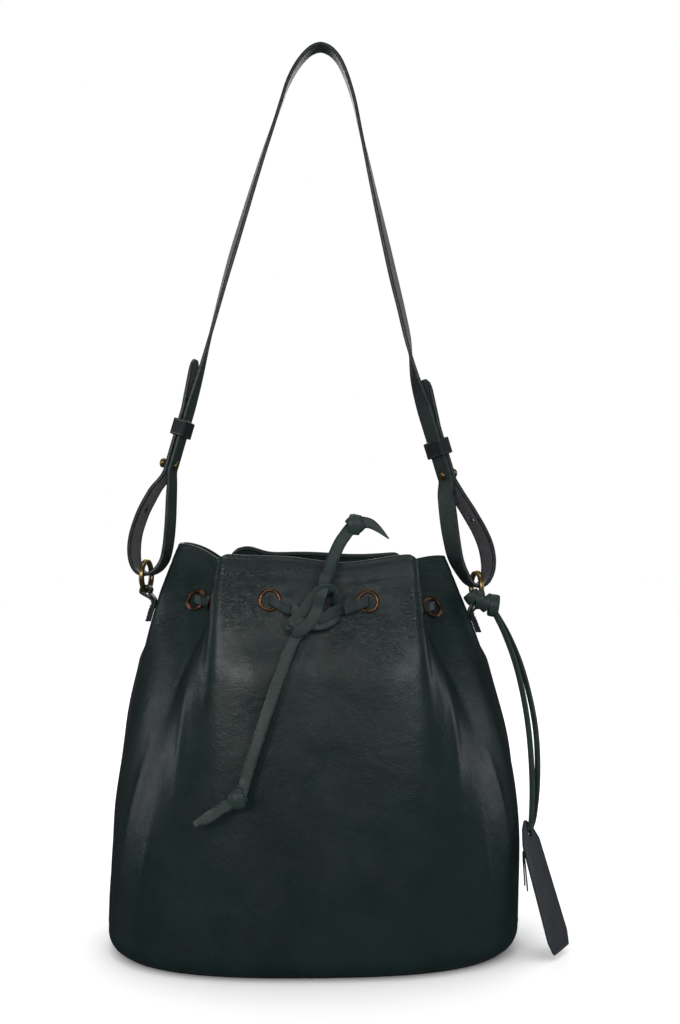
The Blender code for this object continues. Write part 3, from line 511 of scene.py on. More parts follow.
BODY = leather("body_green_leather", (0.0030, 0.0108, 0.0104), (0.0048, 0.0150, 0.0145), 0.35,
               crease_from=(0.175, 0.235), coat=0.08, pull=(0.0060, 0.0150, 0.0146))
LACE = leather("lace_green_leather", (0.0075, 0.0205, 0.0180), (0.0140, 0.0310, 0.0275), 0.46,
               grain=0.8, coat=0.10)
STRAP = leather("strap_green_leather", (0.0100, 0.0175, 0.0172), (0.0170, 0.0265, 0.0262), 0.44, coat=0.12)
KEEPER = leather("keeper_green_leather", (0.0035, 0.0085, 0.0085), (0.0065, 0.0130, 0.0130), 0.58, coat=0.0)
TAG = leather("tag_leather", (0.0120, 0.0165, 0.0190), (0.0190, 0.0245, 0.0275), 0.44, coat=0.15)
WELT = leather("welt_leather", (0.0040, 0.0080, 0.0078), (0.0075, 0.0135, 0.0130), 0.40, coat=0.15)
FLESH = flesh("strap_flesh_side", (0.0270, 0.0250, 0.0300), (0.0430, 0.0400, 0.0460))
BODY_BACK = flesh("panel_flesh_side", (0.0200, 0.0230, 0.0220), (0.0320, 0.0350, 0.0340))
EDGE = edge_paint("edge_paint", (0.0085, 0.0130, 0.0128))
EYELET_BRASS = brass("eyelet_brass", (0.36, 0.19, 0.095), (0.060, 0.028, 0.016), 0.26, 0.90)
RING_BRASS = brass("ring_brass", (0.62, 0.45, 0.19), (0.26, 0.17, 0.07), 0.26, 0.55)
LINING_CLOTH = twill("lining_twill", (0.30, 0.285, 0.27), (0.42, 0.40, 0.38))
STITCH = thread_material("stitch_thread", (0.0100, 0.0190, 0.0180), (0.0260, 0.0420, 0.0400))
WAXED = thread_material("waxed_thread", (0.0040, 0.0050, 0.0050), (0.0140, 0.0150, 0.0150))
BOARD = board_material("fibre_board")


# ---- mesh helpers ----

def add_mesh(name, vertices, faces, finishes, body, material_index=None, sharp=None):
    mesh = bpy.data.meshes.new(name)
    mesh.from_pydata([tuple(map(float, v)) for v in vertices], [], [tuple(map(int, f)) for f in faces])
    made = bpy.data.objects.new(name, mesh)
    bpy.context.collection.objects.link(made)
    for finish in finishes if isinstance(finishes, (list, tuple)) else [finishes]:
        mesh.materials.append(finish)
    if material_index is not None:
        mesh.polygons.foreach_set("material_index", np.array(material_index, dtype=np.int32))
    bm = bmesh.new()
    bm.from_mesh(mesh)
    bmesh.ops.recalc_face_normals(bm, faces=bm.faces)
    bm.to_mesh(mesh)
    bm.free()
    mesh.shade_smooth()
    if sharp is not None:
        mesh.set_sharp_from_angle(angle=math.radians(sharp))
    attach(made, body)
    return made


def finish_piece(made, slot, *nodes):
    if nodes:
        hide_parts(*nodes)
    return made


def grid_faces(count_u, count_v, closed_u, closed_v, base=0):
    """Quads of a grid of points numbered u by u."""
    faces = []
    for i in range(count_u if closed_u else count_u - 1):
        j = (i + 1) % count_u
        for k in range(count_v if closed_v else count_v - 1):
            n = (k + 1) % count_v
            faces.append((base + i * count_v + k, base + j * count_v + k,
                          base + j * count_v + n, base + i * count_v + n))
    return faces


def smooth_line(points, steps):
    """A Catmull-Rom curve through points, as an array."""
    points = [Vector(p) for p in points]
    padded = [2 * points[0] - points[1], *points, 2 * points[-1] - points[-2]]
    line = []
    for a, b, c, d in zip(padded, padded[1:], padded[2:], padded[3:]):
        for i in range(steps):
            t = i / steps
            line.append(0.5 * (2 * b + (c - a) * t + (2 * a - 5 * b + 4 * c - d) * t * t
                               + (3 * b - a - 3 * c + d) * t ** 3))
    line.append(points[-1])
    return np.array([tuple(p) for p in line])


def evenly(line, step, *others):
    """A line again with points a step apart, and other arrays read at the same places."""
    line = np.asarray(line, float)
    along = np.concatenate([[0.0], np.cumsum(np.linalg.norm(np.diff(line, axis=0), axis=1))])
    count = max(3, int(round(along[-1] / step)) + 1)
    at = np.linspace(0, along[-1], count)
    read = []
    for values in (line, *others):
        values = np.asarray(values, float)
        if values.ndim == 1:
            read.append(np.interp(at, along, values))
        else:
            columns = [np.interp(at, along, values[:, k]) for k in range(values.shape[1])]
            read.append(np.stack(columns, axis=1))
    return read[0] if not others else read


def blurred(values, rounds):
    """Values smoothed along a line, with its ends held."""
    values = np.array(values, float)
    for _ in range(rounds):
        values[1:-1] = 0.25 * values[:-2] + 0.5 * values[1:-1] + 0.25 * values[2:]
    return values


def unit(vectors):
    return vectors / np.linalg.norm(vectors, axis=-1, keepdims=True)


def strip_rings(line, wide, half_width, half_thick, rounding=0.0007, crown=0.0):
    """Rings of points round a flat strip along a line, with edges rounded and faces slightly crowned."""
    line = np.asarray(line, float)
    count = len(line)
    along = np.gradient(line, axis=0)
    along = unit(along)
    wide = np.asarray(wide, float)
    wide = unit(wide - along * (wide * along).sum(axis=1, keepdims=True))
    across = np.cross(along, wide)
    half_width = np.broadcast_to(np.asarray(half_width, float), (count,))
    half_thick = np.broadcast_to(np.asarray(half_thick, float), (count,))
    radius = np.minimum(rounding, np.minimum(half_thick * 0.98, half_width * 0.98))
    ring = []
    marks = []
    flats = (-0.75, -0.35, 0.0, 0.35, 0.75)
    for sign in (1, -1):
        for f in flats:
            w = half_width * f * sign * -1
            bulge = crown * (1 - f * f)
            ring.append(line + wide * w[:, None] + across * (sign * (half_thick + bulge))[:, None])
            marks.append(0 if sign > 0 else 1)
        for i in range(5):
            angle = math.pi / 2 * i / 4
            w = (half_width - radius + radius * math.sin(angle)) * -sign
            t = sign * (half_thick - radius + radius * math.cos(angle))
            ring.append(line + wide * w[:, None] + across * t[:, None])
            marks.append(2)
        for i in range(5):
            angle = math.pi / 2 * i / 4
            w = (half_width - radius + radius * math.cos(angle)) * -sign
            t = -sign * (half_thick - radius + radius * math.sin(angle))
            ring.append(line + wide * w[:, None] + across * t[:, None])
            marks.append(2)
    rings = np.stack(ring, axis=1)
    return rings, marks, along, wide, across


def strip(name, line, wide, half_width, half_thick, finishes, body, rounding=0.0007, crown=0.0):
    """A closed flat strip. finishes are for its face, its back and its edges."""
    rings, marks, along, _, _ = strip_rings(line, wide, half_width, half_thick, rounding, crown)
    count, sides = rings.shape[:2]
    vertices = rings.reshape(-1, 3)
    faces = grid_faces(count, sides, False, True)
    index = []
    for i in range(count - 1):
        for k in range(sides):
            n = (k + 1) % sides
            index.append(max(marks[k], marks[n]) if marks[k] != marks[n] else marks[k])
    start = rings[0].mean(axis=0) - along[0] * 0.0001
    end = rings[-1].mean(axis=0) + along[-1] * 0.0001
    vertices = np.concatenate([vertices, [start, end]])
    a, b = count * sides, count * sides + 1
    for k in range(sides):
        n = (k + 1) % sides
        faces.append((a, k, n))
        faces.append((b, (count - 1) * sides + k, (count - 1) * sides + n))
        index += [2, 2]
    if not isinstance(finishes, (list, tuple)):
        finishes = (finishes, finishes, finishes)
    return add_mesh(name, vertices, faces, list(finishes), body, index, 50)


def strip_loop(name, line, wide, half_width, half_thick, finishes, body, rounding=0.0005):
    """A flat strip closed into a loop."""
    line = np.asarray(line, float)
    padded = np.concatenate([line[-2:], line, line[:2]])
    padded_wide = np.broadcast_to(np.asarray(wide, float), line.shape)
    padded_wide = np.concatenate([padded_wide[-2:], padded_wide, padded_wide[:2]])
    rings, marks, _, _, _ = strip_rings(padded, padded_wide, half_width, half_thick, rounding)
    rings = rings[2:-2]
    count, sides = rings.shape[:2]
    faces = grid_faces(count, sides, True, True)
    index = []
    for i in range(count):
        for k in range(sides):
            index.append(max(marks[k], marks[(k + 1) % sides]))
    return add_mesh(name, rings.reshape(-1, 3), faces, list(finishes), body, index, 50)


def turned(name, profile, steps, at, axis, finish, body, closed=True):
    """A piece turned from (radius, height) points, closed or starting and ending on the axis."""
    turn = axis.to_track_quat("Z", "Y").to_matrix()
    vertices, faces = [], []
    if closed:
        for i in range(steps):
            angle = 2 * math.pi * i / steps
            for r, h in profile:
                vertices.append(Vector(at) + turn @ Vector((r * math.cos(angle), r * math.sin(angle), h)))
        faces = grid_faces(steps, len(profile), True, True)
    else:
        rings = []
        for r, h in profile:
            ring = []
            for i in range(1 if r == 0 else steps):
                angle = 2 * math.pi * i / steps
                ring.append(len(vertices))
                vertices.append(Vector(at) + turn @ Vector((r * math.cos(angle), r * math.sin(angle), h)))
            rings.append(ring)
        for low, high in zip(rings, rings[1:]):
            for i in range(steps):
                j = (i + 1) % steps
                if len(low) == 1:
                    faces.append((low[0], high[i], high[j]))
                elif len(high) == 1:
                    faces.append((low[i], low[j], high[0]))
                else:
                    faces.append((low[i], low[j], high[j], high[i]))
    return add_mesh(name, vertices, faces, finish, body, None, 45)


def cut(target, cutter):
    """Takes a cutter out of a mesh, and removes the cutter."""
    modifier = target.modifiers.new("cut", "BOOLEAN")
    modifier.operation = "DIFFERENCE"
    modifier.solver = "EXACT"
    modifier.object = cutter
    bpy.context.view_layer.update()
    evaluated = target.evaluated_get(bpy.context.evaluated_depsgraph_get())
    result = bpy.data.meshes.new_from_object(evaluated)
    target.modifiers.clear()
    target.data = result
    bpy.data.objects.remove(cutter, do_unlink=True)


def pin(at, axis, radius, half, steps, finish, squeeze=1.0, up=None):
    """A cutter: a bar along axis, round or stretched into a slot along up."""
    quat = axis.to_track_quat("Z", "Y").to_matrix().to_4x4()
    bm = bmesh.new()
    bmesh.ops.create_cone(bm, cap_ends=True, segments=steps, radius1=radius, radius2=radius, depth=2 * half)
    if up is not None:
        local = (quat.inverted().to_3x3() @ up)
        local.z = 0
        local.normalize()
        for v in bm.verts:
            flat = Vector((v.co.x, v.co.y, 0))
            v.co += local * local.dot(flat) * (squeeze - 1)
    mesh = bpy.data.meshes.new("pin")
    bmesh.ops.transform(bm, matrix=Matrix.Translation(at) @ quat, verts=bm.verts)
    bm.to_mesh(mesh)
    bm.free()
    mesh.materials.append(finish)
    made = bpy.data.objects.new("pin", mesh)
    bpy.context.collection.objects.link(made)
    return made


def stitches(name, rows, finish, body, slot, thick=0.00030):
    """One mesh of many short raised stitches. Each row is (points, normals, stitch length, pitch)."""
    vertices, faces = [], []
    for points, normals, length, pitch in rows:
        line, normal = evenly(points, pitch / 8, normals)
        normal = unit(normal)
        stride = 8
        span = max(2, int(round(stride * length / pitch)))
        for start in range(0, len(line) - span, stride):
            a, b = line[start], line[start + span]
            along = b - a
            size = np.linalg.norm(along)
            if size < 1e-6:
                continue
            along = along / size
            up = normal[start + span // 2]
            up = up - along * up.dot(along)
            up = up / np.linalg.norm(up)
            side = np.cross(along, up)
            base = len(vertices)
            shape = ((0.0, 0.10), (0.16, 0.75), (0.5, 1.0), (0.84, 0.75), (1.0, 0.10))
            for share, fat in shape:
                centre = a + along * size * share + up * (thick * (1.0 * fat - 0.62))
                for k in range(6):
                    angle = math.pi / 3 * k
                    off = side * math.cos(angle) * thick * 1.15 * fat
                    off = off + up * math.sin(angle) * thick * 0.8 * fat
                    vertices.append(centre + off)
            for r in range(4):
                for k in range(6):
                    n = (k + 1) % 6
                    low = base + r * 6
                    faces.append((low + k, low + n, low + 6 + n, low + 6 + k))
            faces.append(tuple(base + k for k in range(5, -1, -1)))
            faces.append(tuple(base + 24 + k for k in range(6)))
    made = add_mesh(name, vertices, faces, finish, body)
    return finish_piece(made, slot)


# ---- cords first: the drawstring's free ends and the tag's laces ----

def lace_strands(name, route, twist, body, width, thickness=0.0023, flat_tip=None):
    """A flat lace along a route. twist gives the width's direction at the start and end."""
    line = evenly(smooth_line(route, 12), 0.0016)
    t = np.linspace(0, 1, len(line))[:, None]
    wide = np.array(twist[0])[None, :] * (1 - t) + np.array(twist[1])[None, :] * t
    half = np.full(len(line), width / 2)
    half_thick = np.full(len(line), thickness / 2)
    if flat_tip is not None:
        begin, least = flat_tip
        run = np.clip((t[:, 0] - begin) / (1 - begin), 0, 1)
        half = half * (1 - (1 - least) * run ** 1.25)
        half_thick = half_thick * (1 - 0.35 * run)
    made = strip(name, line, wide, half, half_thick, (LACE, LACE, EDGE), body,
                 rounding=0.0007, crown=0.0001)
    return made, line, wide


def knot_piece(name, centre, along, size, body, wraps=None, width=0.0058, thick=0.0019, tilt=0.45):
    """A small overhand knot: crossed bands wrapped round a core, in one mesh."""
    along = Vector(along).normalized()
    front = Vector((0, -1, 0))
    front = (front - along * front.dot(along)).normalized()
    side = along.cross(front)
    vertices, faces = [], []
    bands = wraps or [(tilt, 0.0, 1.0), (-tilt, 0.0006, 0.94)]
    for lean, shift, grow in bands:
        axis = (along * math.cos(lean) + side * math.sin(lean)).normalized()
        across = axis.cross(front).normalized()
        line, wide = [], []
        for i in range(28):
            angle = 2 * math.pi * i / 28
            spot = Vector(centre) + along * shift
            spot += across * math.cos(angle) * size[0] * grow + front * math.sin(angle) * size[1] * grow
            line.append(tuple(spot))
            wide.append(tuple(axis))
        padded = np.array(line[-2:] + line + line[:2])
        padded_wide = np.array(wide[-2:] + wide + wide[:2])
        rings, _, _, _, _ = strip_rings(padded, padded_wide, width / 2, thick / 2, 0.0007, 0.0003)
        rings = rings[2:-2]
        faces += grid_faces(rings.shape[0], rings.shape[1], True, True, len(vertices))
        vertices += list(rings.reshape(-1, 3))
    return add_mesh(name, vertices, faces, LACE, body, None, 50)


upper_route = [*UPPER_TAIL, UPPER_STOPPER, *UPPER_END]
upper_lace, upper_line, upper_wide = lace_strands(
    "upper_lace_end", upper_route, ((0.95, -0.1, -0.30), (0.35, 0.1, 0.93)), "upper_lace_end", 0.0084,
    flat_tip=(0.70, 0.10))
finish_piece(upper_lace, "lace_leather", "lace_tail_upper", "lace_end_upper")
upper_stopper = knot_piece("upper_stopper_knot", UPPER_STOPPER, (1.0, 0, 0.30), (0.0058, 0.0042),
                           "upper_lace_end", width=0.0084, tilt=0.42)
finish_piece(upper_stopper, "lace_leather", "stopper_knot_upper")

lower_route = [*LOWER_TAIL, LOWER_STOPPER, *LOWER_END]
lower_lace, lower_line, lower_wide = lace_strands(
    "lower_lace_end", lower_route, ((0.93, -0.05, -0.30), (0.45, -0.25, -0.86)), "lower_lace_end", 0.0080,
    flat_tip=(0.93, 0.55))
finish_piece(lower_lace, "lace_leather", "lace_tail_lower", "lace_end_lower")
lower_stopper = knot_piece("lower_stopper_knot", LOWER_STOPPER, (-0.80, 0, -0.60), (0.0056, 0.0041),
                           "lower_lace_end", width=0.0076, tilt=0.45)
finish_piece(lower_stopper, "lace_leather", "stopper_knot_lower")

TAG_LACE_TWIST = ((0.75, -0.62, 0.1), (0.80, -0.58, 0.1))
front_lace, front_line, _ = lace_strands(
    "tag_front_lace", (*TAG_LACE_FRONT, (0.1524, -0.0428, 0.0845)), TAG_LACE_TWIST, "tag", 0.0042,
    thickness=0.0019)
finish_piece(front_lace, "lace_leather", "tag_lace_front")
back_lace, back_line, _ = lace_strands(
    "tag_back_lace", (*TAG_LACE_BACK, (0.1530, -0.0372, 0.0838)), TAG_LACE_TWIST, "tag", 0.0042,
    thickness=0.0019)
finish_piece(back_lace, "lace_leather", "tag_lace_back")


# ---- leather panels ----

def shape_change(turn, z):
    """How far the leather stands out from its plain shape, in metres: slack, dents and tension folds."""
    share = share_of(turn)
    side = np.where((np.asarray(turn) % 4) < 2, 1.0, -1.0)
    front = np.where(((np.asarray(turn) % 4) > 1) & ((np.asarray(turn) % 4) < 3), -1.0, 1.0)
    phase = 1.3 * side + 0.7 * front
    slack = np.sin(turn * 5.3 + z * 17 + 0.4) * 0.0005 + np.sin(turn * 9.1 - z * 26 + 2.1) * 0.0003
    slack += np.sin(turn * 3.1 + z * 39 + 1.0) * 0.0004
    body = smooth_step(0.02, 0.08, z) * (1 - smooth_step(0.20, 0.232, z))
    out = slack * body
    # Slack pouches under the front eyelets, and one near the middle.
    for at, low, wide, tall, size in (
        (0.20, 0.196, 0.105, 0.020, 0.0021),
        (0.05, 0.205, 0.060, 0.018, 0.0010),
        (0.52, 0.185, 0.070, 0.028, 0.0016),
        (0.80, 0.170, 0.080, 0.034, 0.0012),
    ):
        spread = wide * (1 + 1.6 * np.clip(0.24 - z, 0, 0.2))
        out += size * np.exp(-((share - at) / spread) ** 2) * np.exp(-((z - low) / tall) ** 2)
    # One crisp line runs down from each gathered corner and dies out.
    for at, width, low, high, lean, size in (
        (0.405, 0.022, 0.165, 0.240, 0.05, -0.0008),
        (0.635, 0.026, 0.170, 0.240, -0.08, -0.0008),
    ):
        centre = at + lean * (0.24 - z) * 2.0 + 0.006 * np.sin(z * 50 + phase * 3 + at * 11)
        band = np.exp(-((share - centre) / (width * (1 + (0.24 - z) * 5))) ** 2)
        reach = smooth_step(low - 0.02, low + 0.06, z) * (1 - smooth_step(high - 0.012, high + 0.012, z))
        out += size * band * reach
    # Slanting tension creases, faint, on each lower side.
    for a, b, c, size in (
        (0.50, 0.150, 1.9, 0.0008),
        (0.70, 0.105, -2.3, 0.0010),
        (0.60, 0.060, -1.5, 0.0007),
    ):
        along = (share - a) - (z - b) / c * (1 + 0.15 * side)
        band = np.exp(-(along / 0.020) ** 2) - 0.5 * np.exp(-((along - 0.05) / 0.05) ** 2)
        out += size * band * np.exp(-((z - b) / 0.030) ** 2)
    return out


def eyelet_change(points, turn, z):
    """The leather is pressed flat under each eyelet and puckers a little round it."""
    out = np.zeros(points.shape[:-1])
    keep = np.ones(points.shape[:-1])
    for side, face, number in ALL_EYELETS:
        at, axis, _ = eyelet(side, face, number)
        gap = points - np.array(at)
        far = np.linalg.norm(gap, axis=-1)
        angle = np.arctan2(gap[..., 2], gap @ np.array(axis.cross(Vector((0, 0, 1)))))
        ring = np.exp(-((far - 0.0125) / 0.0035) ** 2)
        out += ring * (0.00028 + 0.00022 * np.sin(angle * 7 + number * 2 + side))
        keep *= 1 - np.exp(-(far / 0.0105) ** 4)
    return out, keep


def panel_turns(centre, count=230):
    """Turns over a front or back panel, closer together where the leather folds."""
    shares = np.linspace(0, 1, 4001)
    weight = 1 + 2.2 * np.exp(-((shares - 0.355) / 0.05) ** 2) + 2.2 * np.exp(-((shares - 0.63) / 0.05) ** 2)
    weight += 1.2 * np.exp(-((shares - 0.955) / 0.04) ** 2)
    total = np.concatenate([[0], np.cumsum((weight[1:] + weight[:-1]) / 2)])
    picked = np.interp(np.linspace(0, total[-1], count // 2 + 1), total, shares)
    picked = picked * (1 - SEAM_HALF_GAP)
    return centre + np.concatenate([-picked[:0:-1], picked])


def grid_normals(points, closed=False):
    if closed:
        du = np.roll(points, -1, axis=0) - np.roll(points, 1, axis=0)
    else:
        du = np.gradient(points, axis=0)
    dv = np.gradient(points, axis=1)
    return unit(np.cross(du, dv))


ROLL = (LEATHER + GAP + 0.0011) / 2


def panel_rows(turn, count=150):
    """Heights up a panel: from its foot to just under the rolled rim, per turn."""
    top = rim_z(turn) - ROLL * 0.9
    foot = WALL_FOOT_Z
    t = np.linspace(0, 1, count)
    t = 0.5 * (t + t ** 0.85)
    return foot + (top[:, None] - foot) * t[None, :]


def make_panel(name, node, centre):
    turns = panel_turns(centre)
    heights = panel_rows(turns)
    turn_grid = np.broadcast_to(turns[:, None], heights.shape)
    points = wall(turn_grid, heights)
    normals = grid_normals(points)
    pucker, keep = eyelet_change(points, turn_grid, heights)
    below = rim_z(turns)[:, None] - heights
    edge = np.minimum(1, (1 - np.abs(turn_grid - centre)) / 0.05)
    change = shape_change(turn_grid, heights) * np.clip(edge, 0, 1)
    change = change * keep + pucker
    hem = -0.00022 * np.exp(-((below - 0.0135) / 0.0011) ** 2)
    hem += -0.00030 * np.exp(-((below - 0.0031) / 0.00055) ** 2)
    hem += 0.00012 * smooth_step(0.0128, 0.0145, 0.0273 - below)
    change = change + hem
    points = points + normals * change[..., None]
    normals = grid_normals(points)
    rows = [points[:, k] for k in range(points.shape[1])]
    # The rolled rim: round over the leather and its facing, then a little way down inside.
    tip, tip_normal = points[:, -1], normals[:, -1]
    up = unit(points[:, -1] - points[:, -2])
    inward = -tip_normal
    for i in range(1, 8):
        angle = math.pi * i / 8
        rows.append(tip + inward * (ROLL * (1 - math.cos(angle))) + up * (ROLL * math.sin(angle)))
    for drop in (0.0, 0.0012):
        rows.append(tip + inward * 2 * ROLL - up * drop)
    # The leather's inner face, back down to the foot.
    rows.append(tip + inward * (LEATHER + 0.0001) - up * 0.0016)
    inner = points - normals * LEATHER
    for k in range(points.shape[1] - 4, -1, -3):
        rows.append(inner[:, k])
    rows.append(inner[:, 0])
    skin = np.stack(rows, axis=1)
    count_u, count_v = skin.shape[:2]
    faces = grid_faces(count_u, count_v, False, True)
    outside = points.shape[1] + 10
    index = []
    for i in range(count_u - 1):
        index += [0 if k < outside - 1 else 1 for k in range(count_v)]
    vertices = list(skin.reshape(-1, 3))
    for i in (0, count_u - 1):
        ring = [i * count_v + k for k in range(count_v)]
        faces.append(tuple(ring))
        index.append(2)
    made = add_mesh(name, vertices, faces, [BODY, BODY_BACK, EDGE], "bag", index, 60)
    finish_piece(made, "body_leather", node)
    return turns, points, normals


front_turns, front_points, front_normals = make_panel("front_leather_panel", "front_panel", 0.0)
back_turns, back_points, back_normals = make_panel("back_leather_panel", "back_panel", 2.0)

# Stitches along the rim, 3.1 mm below its edge, outside.
rows = []
for turns, points, normals in (
    (front_turns, front_points, front_normals),
    (back_turns, back_points, back_normals),
):
    heights = points[..., 2]
    goal = rim_z(turns) - 0.0031
    line, facing = [], []
    for i in range(len(turns)):
        column = heights[i]
        spot = [np.interp(goal[i], column, points[i, :, k]) for k in range(3)]
        face = [np.interp(goal[i], column, normals[i, :, k]) for k in range(3)]
        line.append(spot)
        facing.append(face)
    line, facing = np.array(line), unit(np.array(facing))
    rows.append((line + facing * 0.00010, facing, 0.0024, 0.0032))
stitches("rim_stitches", rows, STITCH, "bag", "body_leather", 0.00028)


# ---- inside: facing and lining ----

def ring_turns(count):
    base = panel_turns(0.0, count)
    half = base[base >= 0]
    quarter = half / half[-1]
    return np.concatenate([quarter[:-1], 2 - quarter[:0:-1], 2 + quarter[:-1], 4 - quarter[:0:-1]])


def inner_skin(name, heights_of, inset, thickness, finish, node, slot, change=None, rounds=0):
    turns = ring_turns(220)
    heights = heights_of(turns)
    grid = np.broadcast_to(turns[:, None], heights.shape)
    outer = wall(grid, heights)
    normals = grid_normals(outer, True)
    if change is not None:
        moved = change(grid, heights)
        outer = outer + normals * moved[..., None]
    out = outer - normals * inset
    inner = out - normals * thickness
    skin = np.concatenate([out, inner[:, ::-1]], axis=1)
    faces = grid_faces(skin.shape[0], skin.shape[1], True, True)
    made = add_mesh(name, skin.reshape(-1, 3), faces, finish, "bag", None, 60)
    return finish_piece(made, slot, node), outer, normals, turns


def facing_heights(turns):
    top = rim_z(turns) - ROLL * 0.9 - 0.0014
    t = np.linspace(0, 1, 34)
    return (top - (FACING_DEPTH - 0.003))[:, None] + (FACING_DEPTH - 0.003) * t[None, :]


def lining_heights(turns):
    top = rim_z(turns) - FACING_DEPTH - 0.001
    t = np.linspace(0, 1, 70)
    return 0.0075 + (top - 0.0075)[:, None] * t[None, :]


def lining_slack(turn, z):
    inside = smooth_step(0.02, 0.06, z) * (1 - smooth_step(0.18, 0.215, z))
    waves = np.sin(turn * 16 + z * 30) * 0.0005 + np.sin(turn * 27 - z * 60 + 1.2) * 0.0003 - 0.0011
    return waves * inside


facing, facing_points, facing_normals, _ = inner_skin(
    "rim_facing_leather", facing_heights, LEATHER + GAP, 0.0011, BODY, "rim_facing", "body_leather")
inner_skin(
    "lining_cloth", lining_heights, LEATHER + 0.0014, 0.0007, LINING_CLOTH, "lining_wall", "lining",
    lining_slack)
seam_inside = facing_points[:, 2] - facing_normals[:, 2] * (LEATHER + GAP + 0.0011)
rows = [(np.concatenate([seam_inside, seam_inside[:1]]),
         -np.concatenate([facing_normals[:, 2], facing_normals[:1, 2]]),
         0.0024, 0.0032)]
top_inside = facing_points[:, -3] - facing_normals[:, -3] * (LEATHER + GAP + 0.0011)
rows.append((np.concatenate([top_inside, top_inside[:1]]),
             -np.concatenate([facing_normals[:, -3], facing_normals[:1, -3]]),
             0.0024, 0.0032))
stitches("facing_stitches", rows, STITCH, "bag", "body_leather", 0.00026)


# ---- base ----

def base_line(inset, count):
    turns = 4 * np.arange(count) / count
    step = 0.004
    along = outline(turns + step, 0.0) - outline(turns - step, 0.0)
    out = np.stack([along[:, 1], -along[:, 0]], axis=1)
    out = out / np.linalg.norm(out, axis=1)[:, None]
    return outline(turns, 0.0) - out * inset, out


def base_plate(name, node, slot, inset, low, high, finish, rings=14, sag=0.0, count=160):
    """A flat oval plate with a rounded edge and enough rings for soft relief."""
    edge, _ = base_line(inset, count)
    round_off = min(0.0006, (high - low) / 2.2)
    lower = [(round_off, low, 0.0)] + [(0, low, r / rings) for r in range(1, rings)]
    upper = [(round_off, high, 0.0)] + [(0, high, r / rings) for r in range(1, rings)]
    corner = round_off * 0.3
    order = lower[::-1] + [(corner, low + corner, 0.0), (0.0, low + round_off, 0.0),
                           (0.0, high - round_off, 0.0), (corner, high - corner, 0.0)] + upper
    rows = []
    centre = edge.mean(axis=0)
    for shrink, z, share in order:
        flat = centre + (edge - centre) * (1 - share)
        direction = unit(edge - centre)
        flat = flat - direction * shrink
        lift = sag * math.sin(math.pi * share) if z > (low + high) / 2 else 0.0
        rows.append(np.concatenate([flat, np.full((count, 1), z + lift)], axis=1))
    skin = np.stack(rows, axis=0)
    faces = grid_faces(len(rows), count, False, True)
    vertices = list(skin.reshape(-1, 3))
    a, b = len(vertices), len(vertices) + 1
    vertices += [(centre[0], centre[1], low), (centre[0], centre[1], high)]
    for k in range(count):
        n = (k + 1) % count
        faces.append((a, k, n))
        faces.append((b, (len(rows) - 1) * count + k, (len(rows) - 1) * count + n))
    made = add_mesh(name, vertices, faces, finish, "bag", None, 40)
    return finish_piece(made, slot, node)


base_plate("base_leather", "base_panel", "body_leather", 0.0098, 0.0, 0.0022, WELT)
base_plate("base_fibre_board", "base_board", "base_board", 0.0080, 0.0026, 0.0046, BOARD)
base_plate("lining_base_cloth", "lining_floor", "lining", 0.0088, 0.0050, 0.0056, LINING_CLOTH, sag=0.0003)

# Stitches round the underside.
base_edge, _ = base_line(0.0125, 260)
line = np.concatenate([base_edge, np.full((260, 1), 0.00030)], axis=1)
rows = [(np.concatenate([line, line[:1]]), np.tile((0.0, 0.0, -1.0), (261, 1)), 0.0024, 0.0034)]
stitches("base_stitches", rows, STITCH, "bag", "body_leather", 0.00024)

# Raised strips down the side seams, ending in a small lip at the base.
for side, word, seam, rim in ((1, "right", 1, RIM_RIGHT_Z), (-1, "left", 3, RIM_LEFT_Z)):
    levels = np.linspace(0.0034, rim - 0.0025, 130)
    proud = 0.0021 * (1 - smooth_step(0.200, 0.214, levels))
    proud = proud + 0.0004 * np.sin(levels * 90 + side) * (1 - smooth_step(0.19, 0.21, levels))
    proud = proud + (0.0018 if side > 0 else 0.0006) * (1 - smooth_step(0.006, 0.018, levels))
    outer = wall(np.full(130, float(seam)), levels, 0.0) + np.outer(proud, (side, 0, 0))
    inner = wall(np.full(130, float(seam)), levels, LEATHER - 0.0004)
    rows = []
    for i in range(9):
        angle = math.pi * i / 8
        y = 0.00105 * math.cos(angle)
        back = 0.0009 * (1 - math.sin(angle))
        rows.append(outer - np.array((side * back, -y, 0)))
    rows.append(inner + np.array((0, -0.00105, 0)))
    rows.append(inner + np.array((0, 0.00105, 0)))
    skin = np.stack(rows, axis=1)
    count_u, count_v = skin.shape[:2]
    faces = grid_faces(count_u, count_v, False, True)
    faces.append(tuple(range(count_v)))
    faces.append(tuple((count_u - 1) * count_v + k for k in range(count_v)))
    welt = add_mesh(f"side_seam_strip_{word}", skin.reshape(-1, 3), faces, WELT, "bag", None, 60)
    finish_piece(welt, "body_leather", f"side_welt_{word}")


# ---- eyelets ----

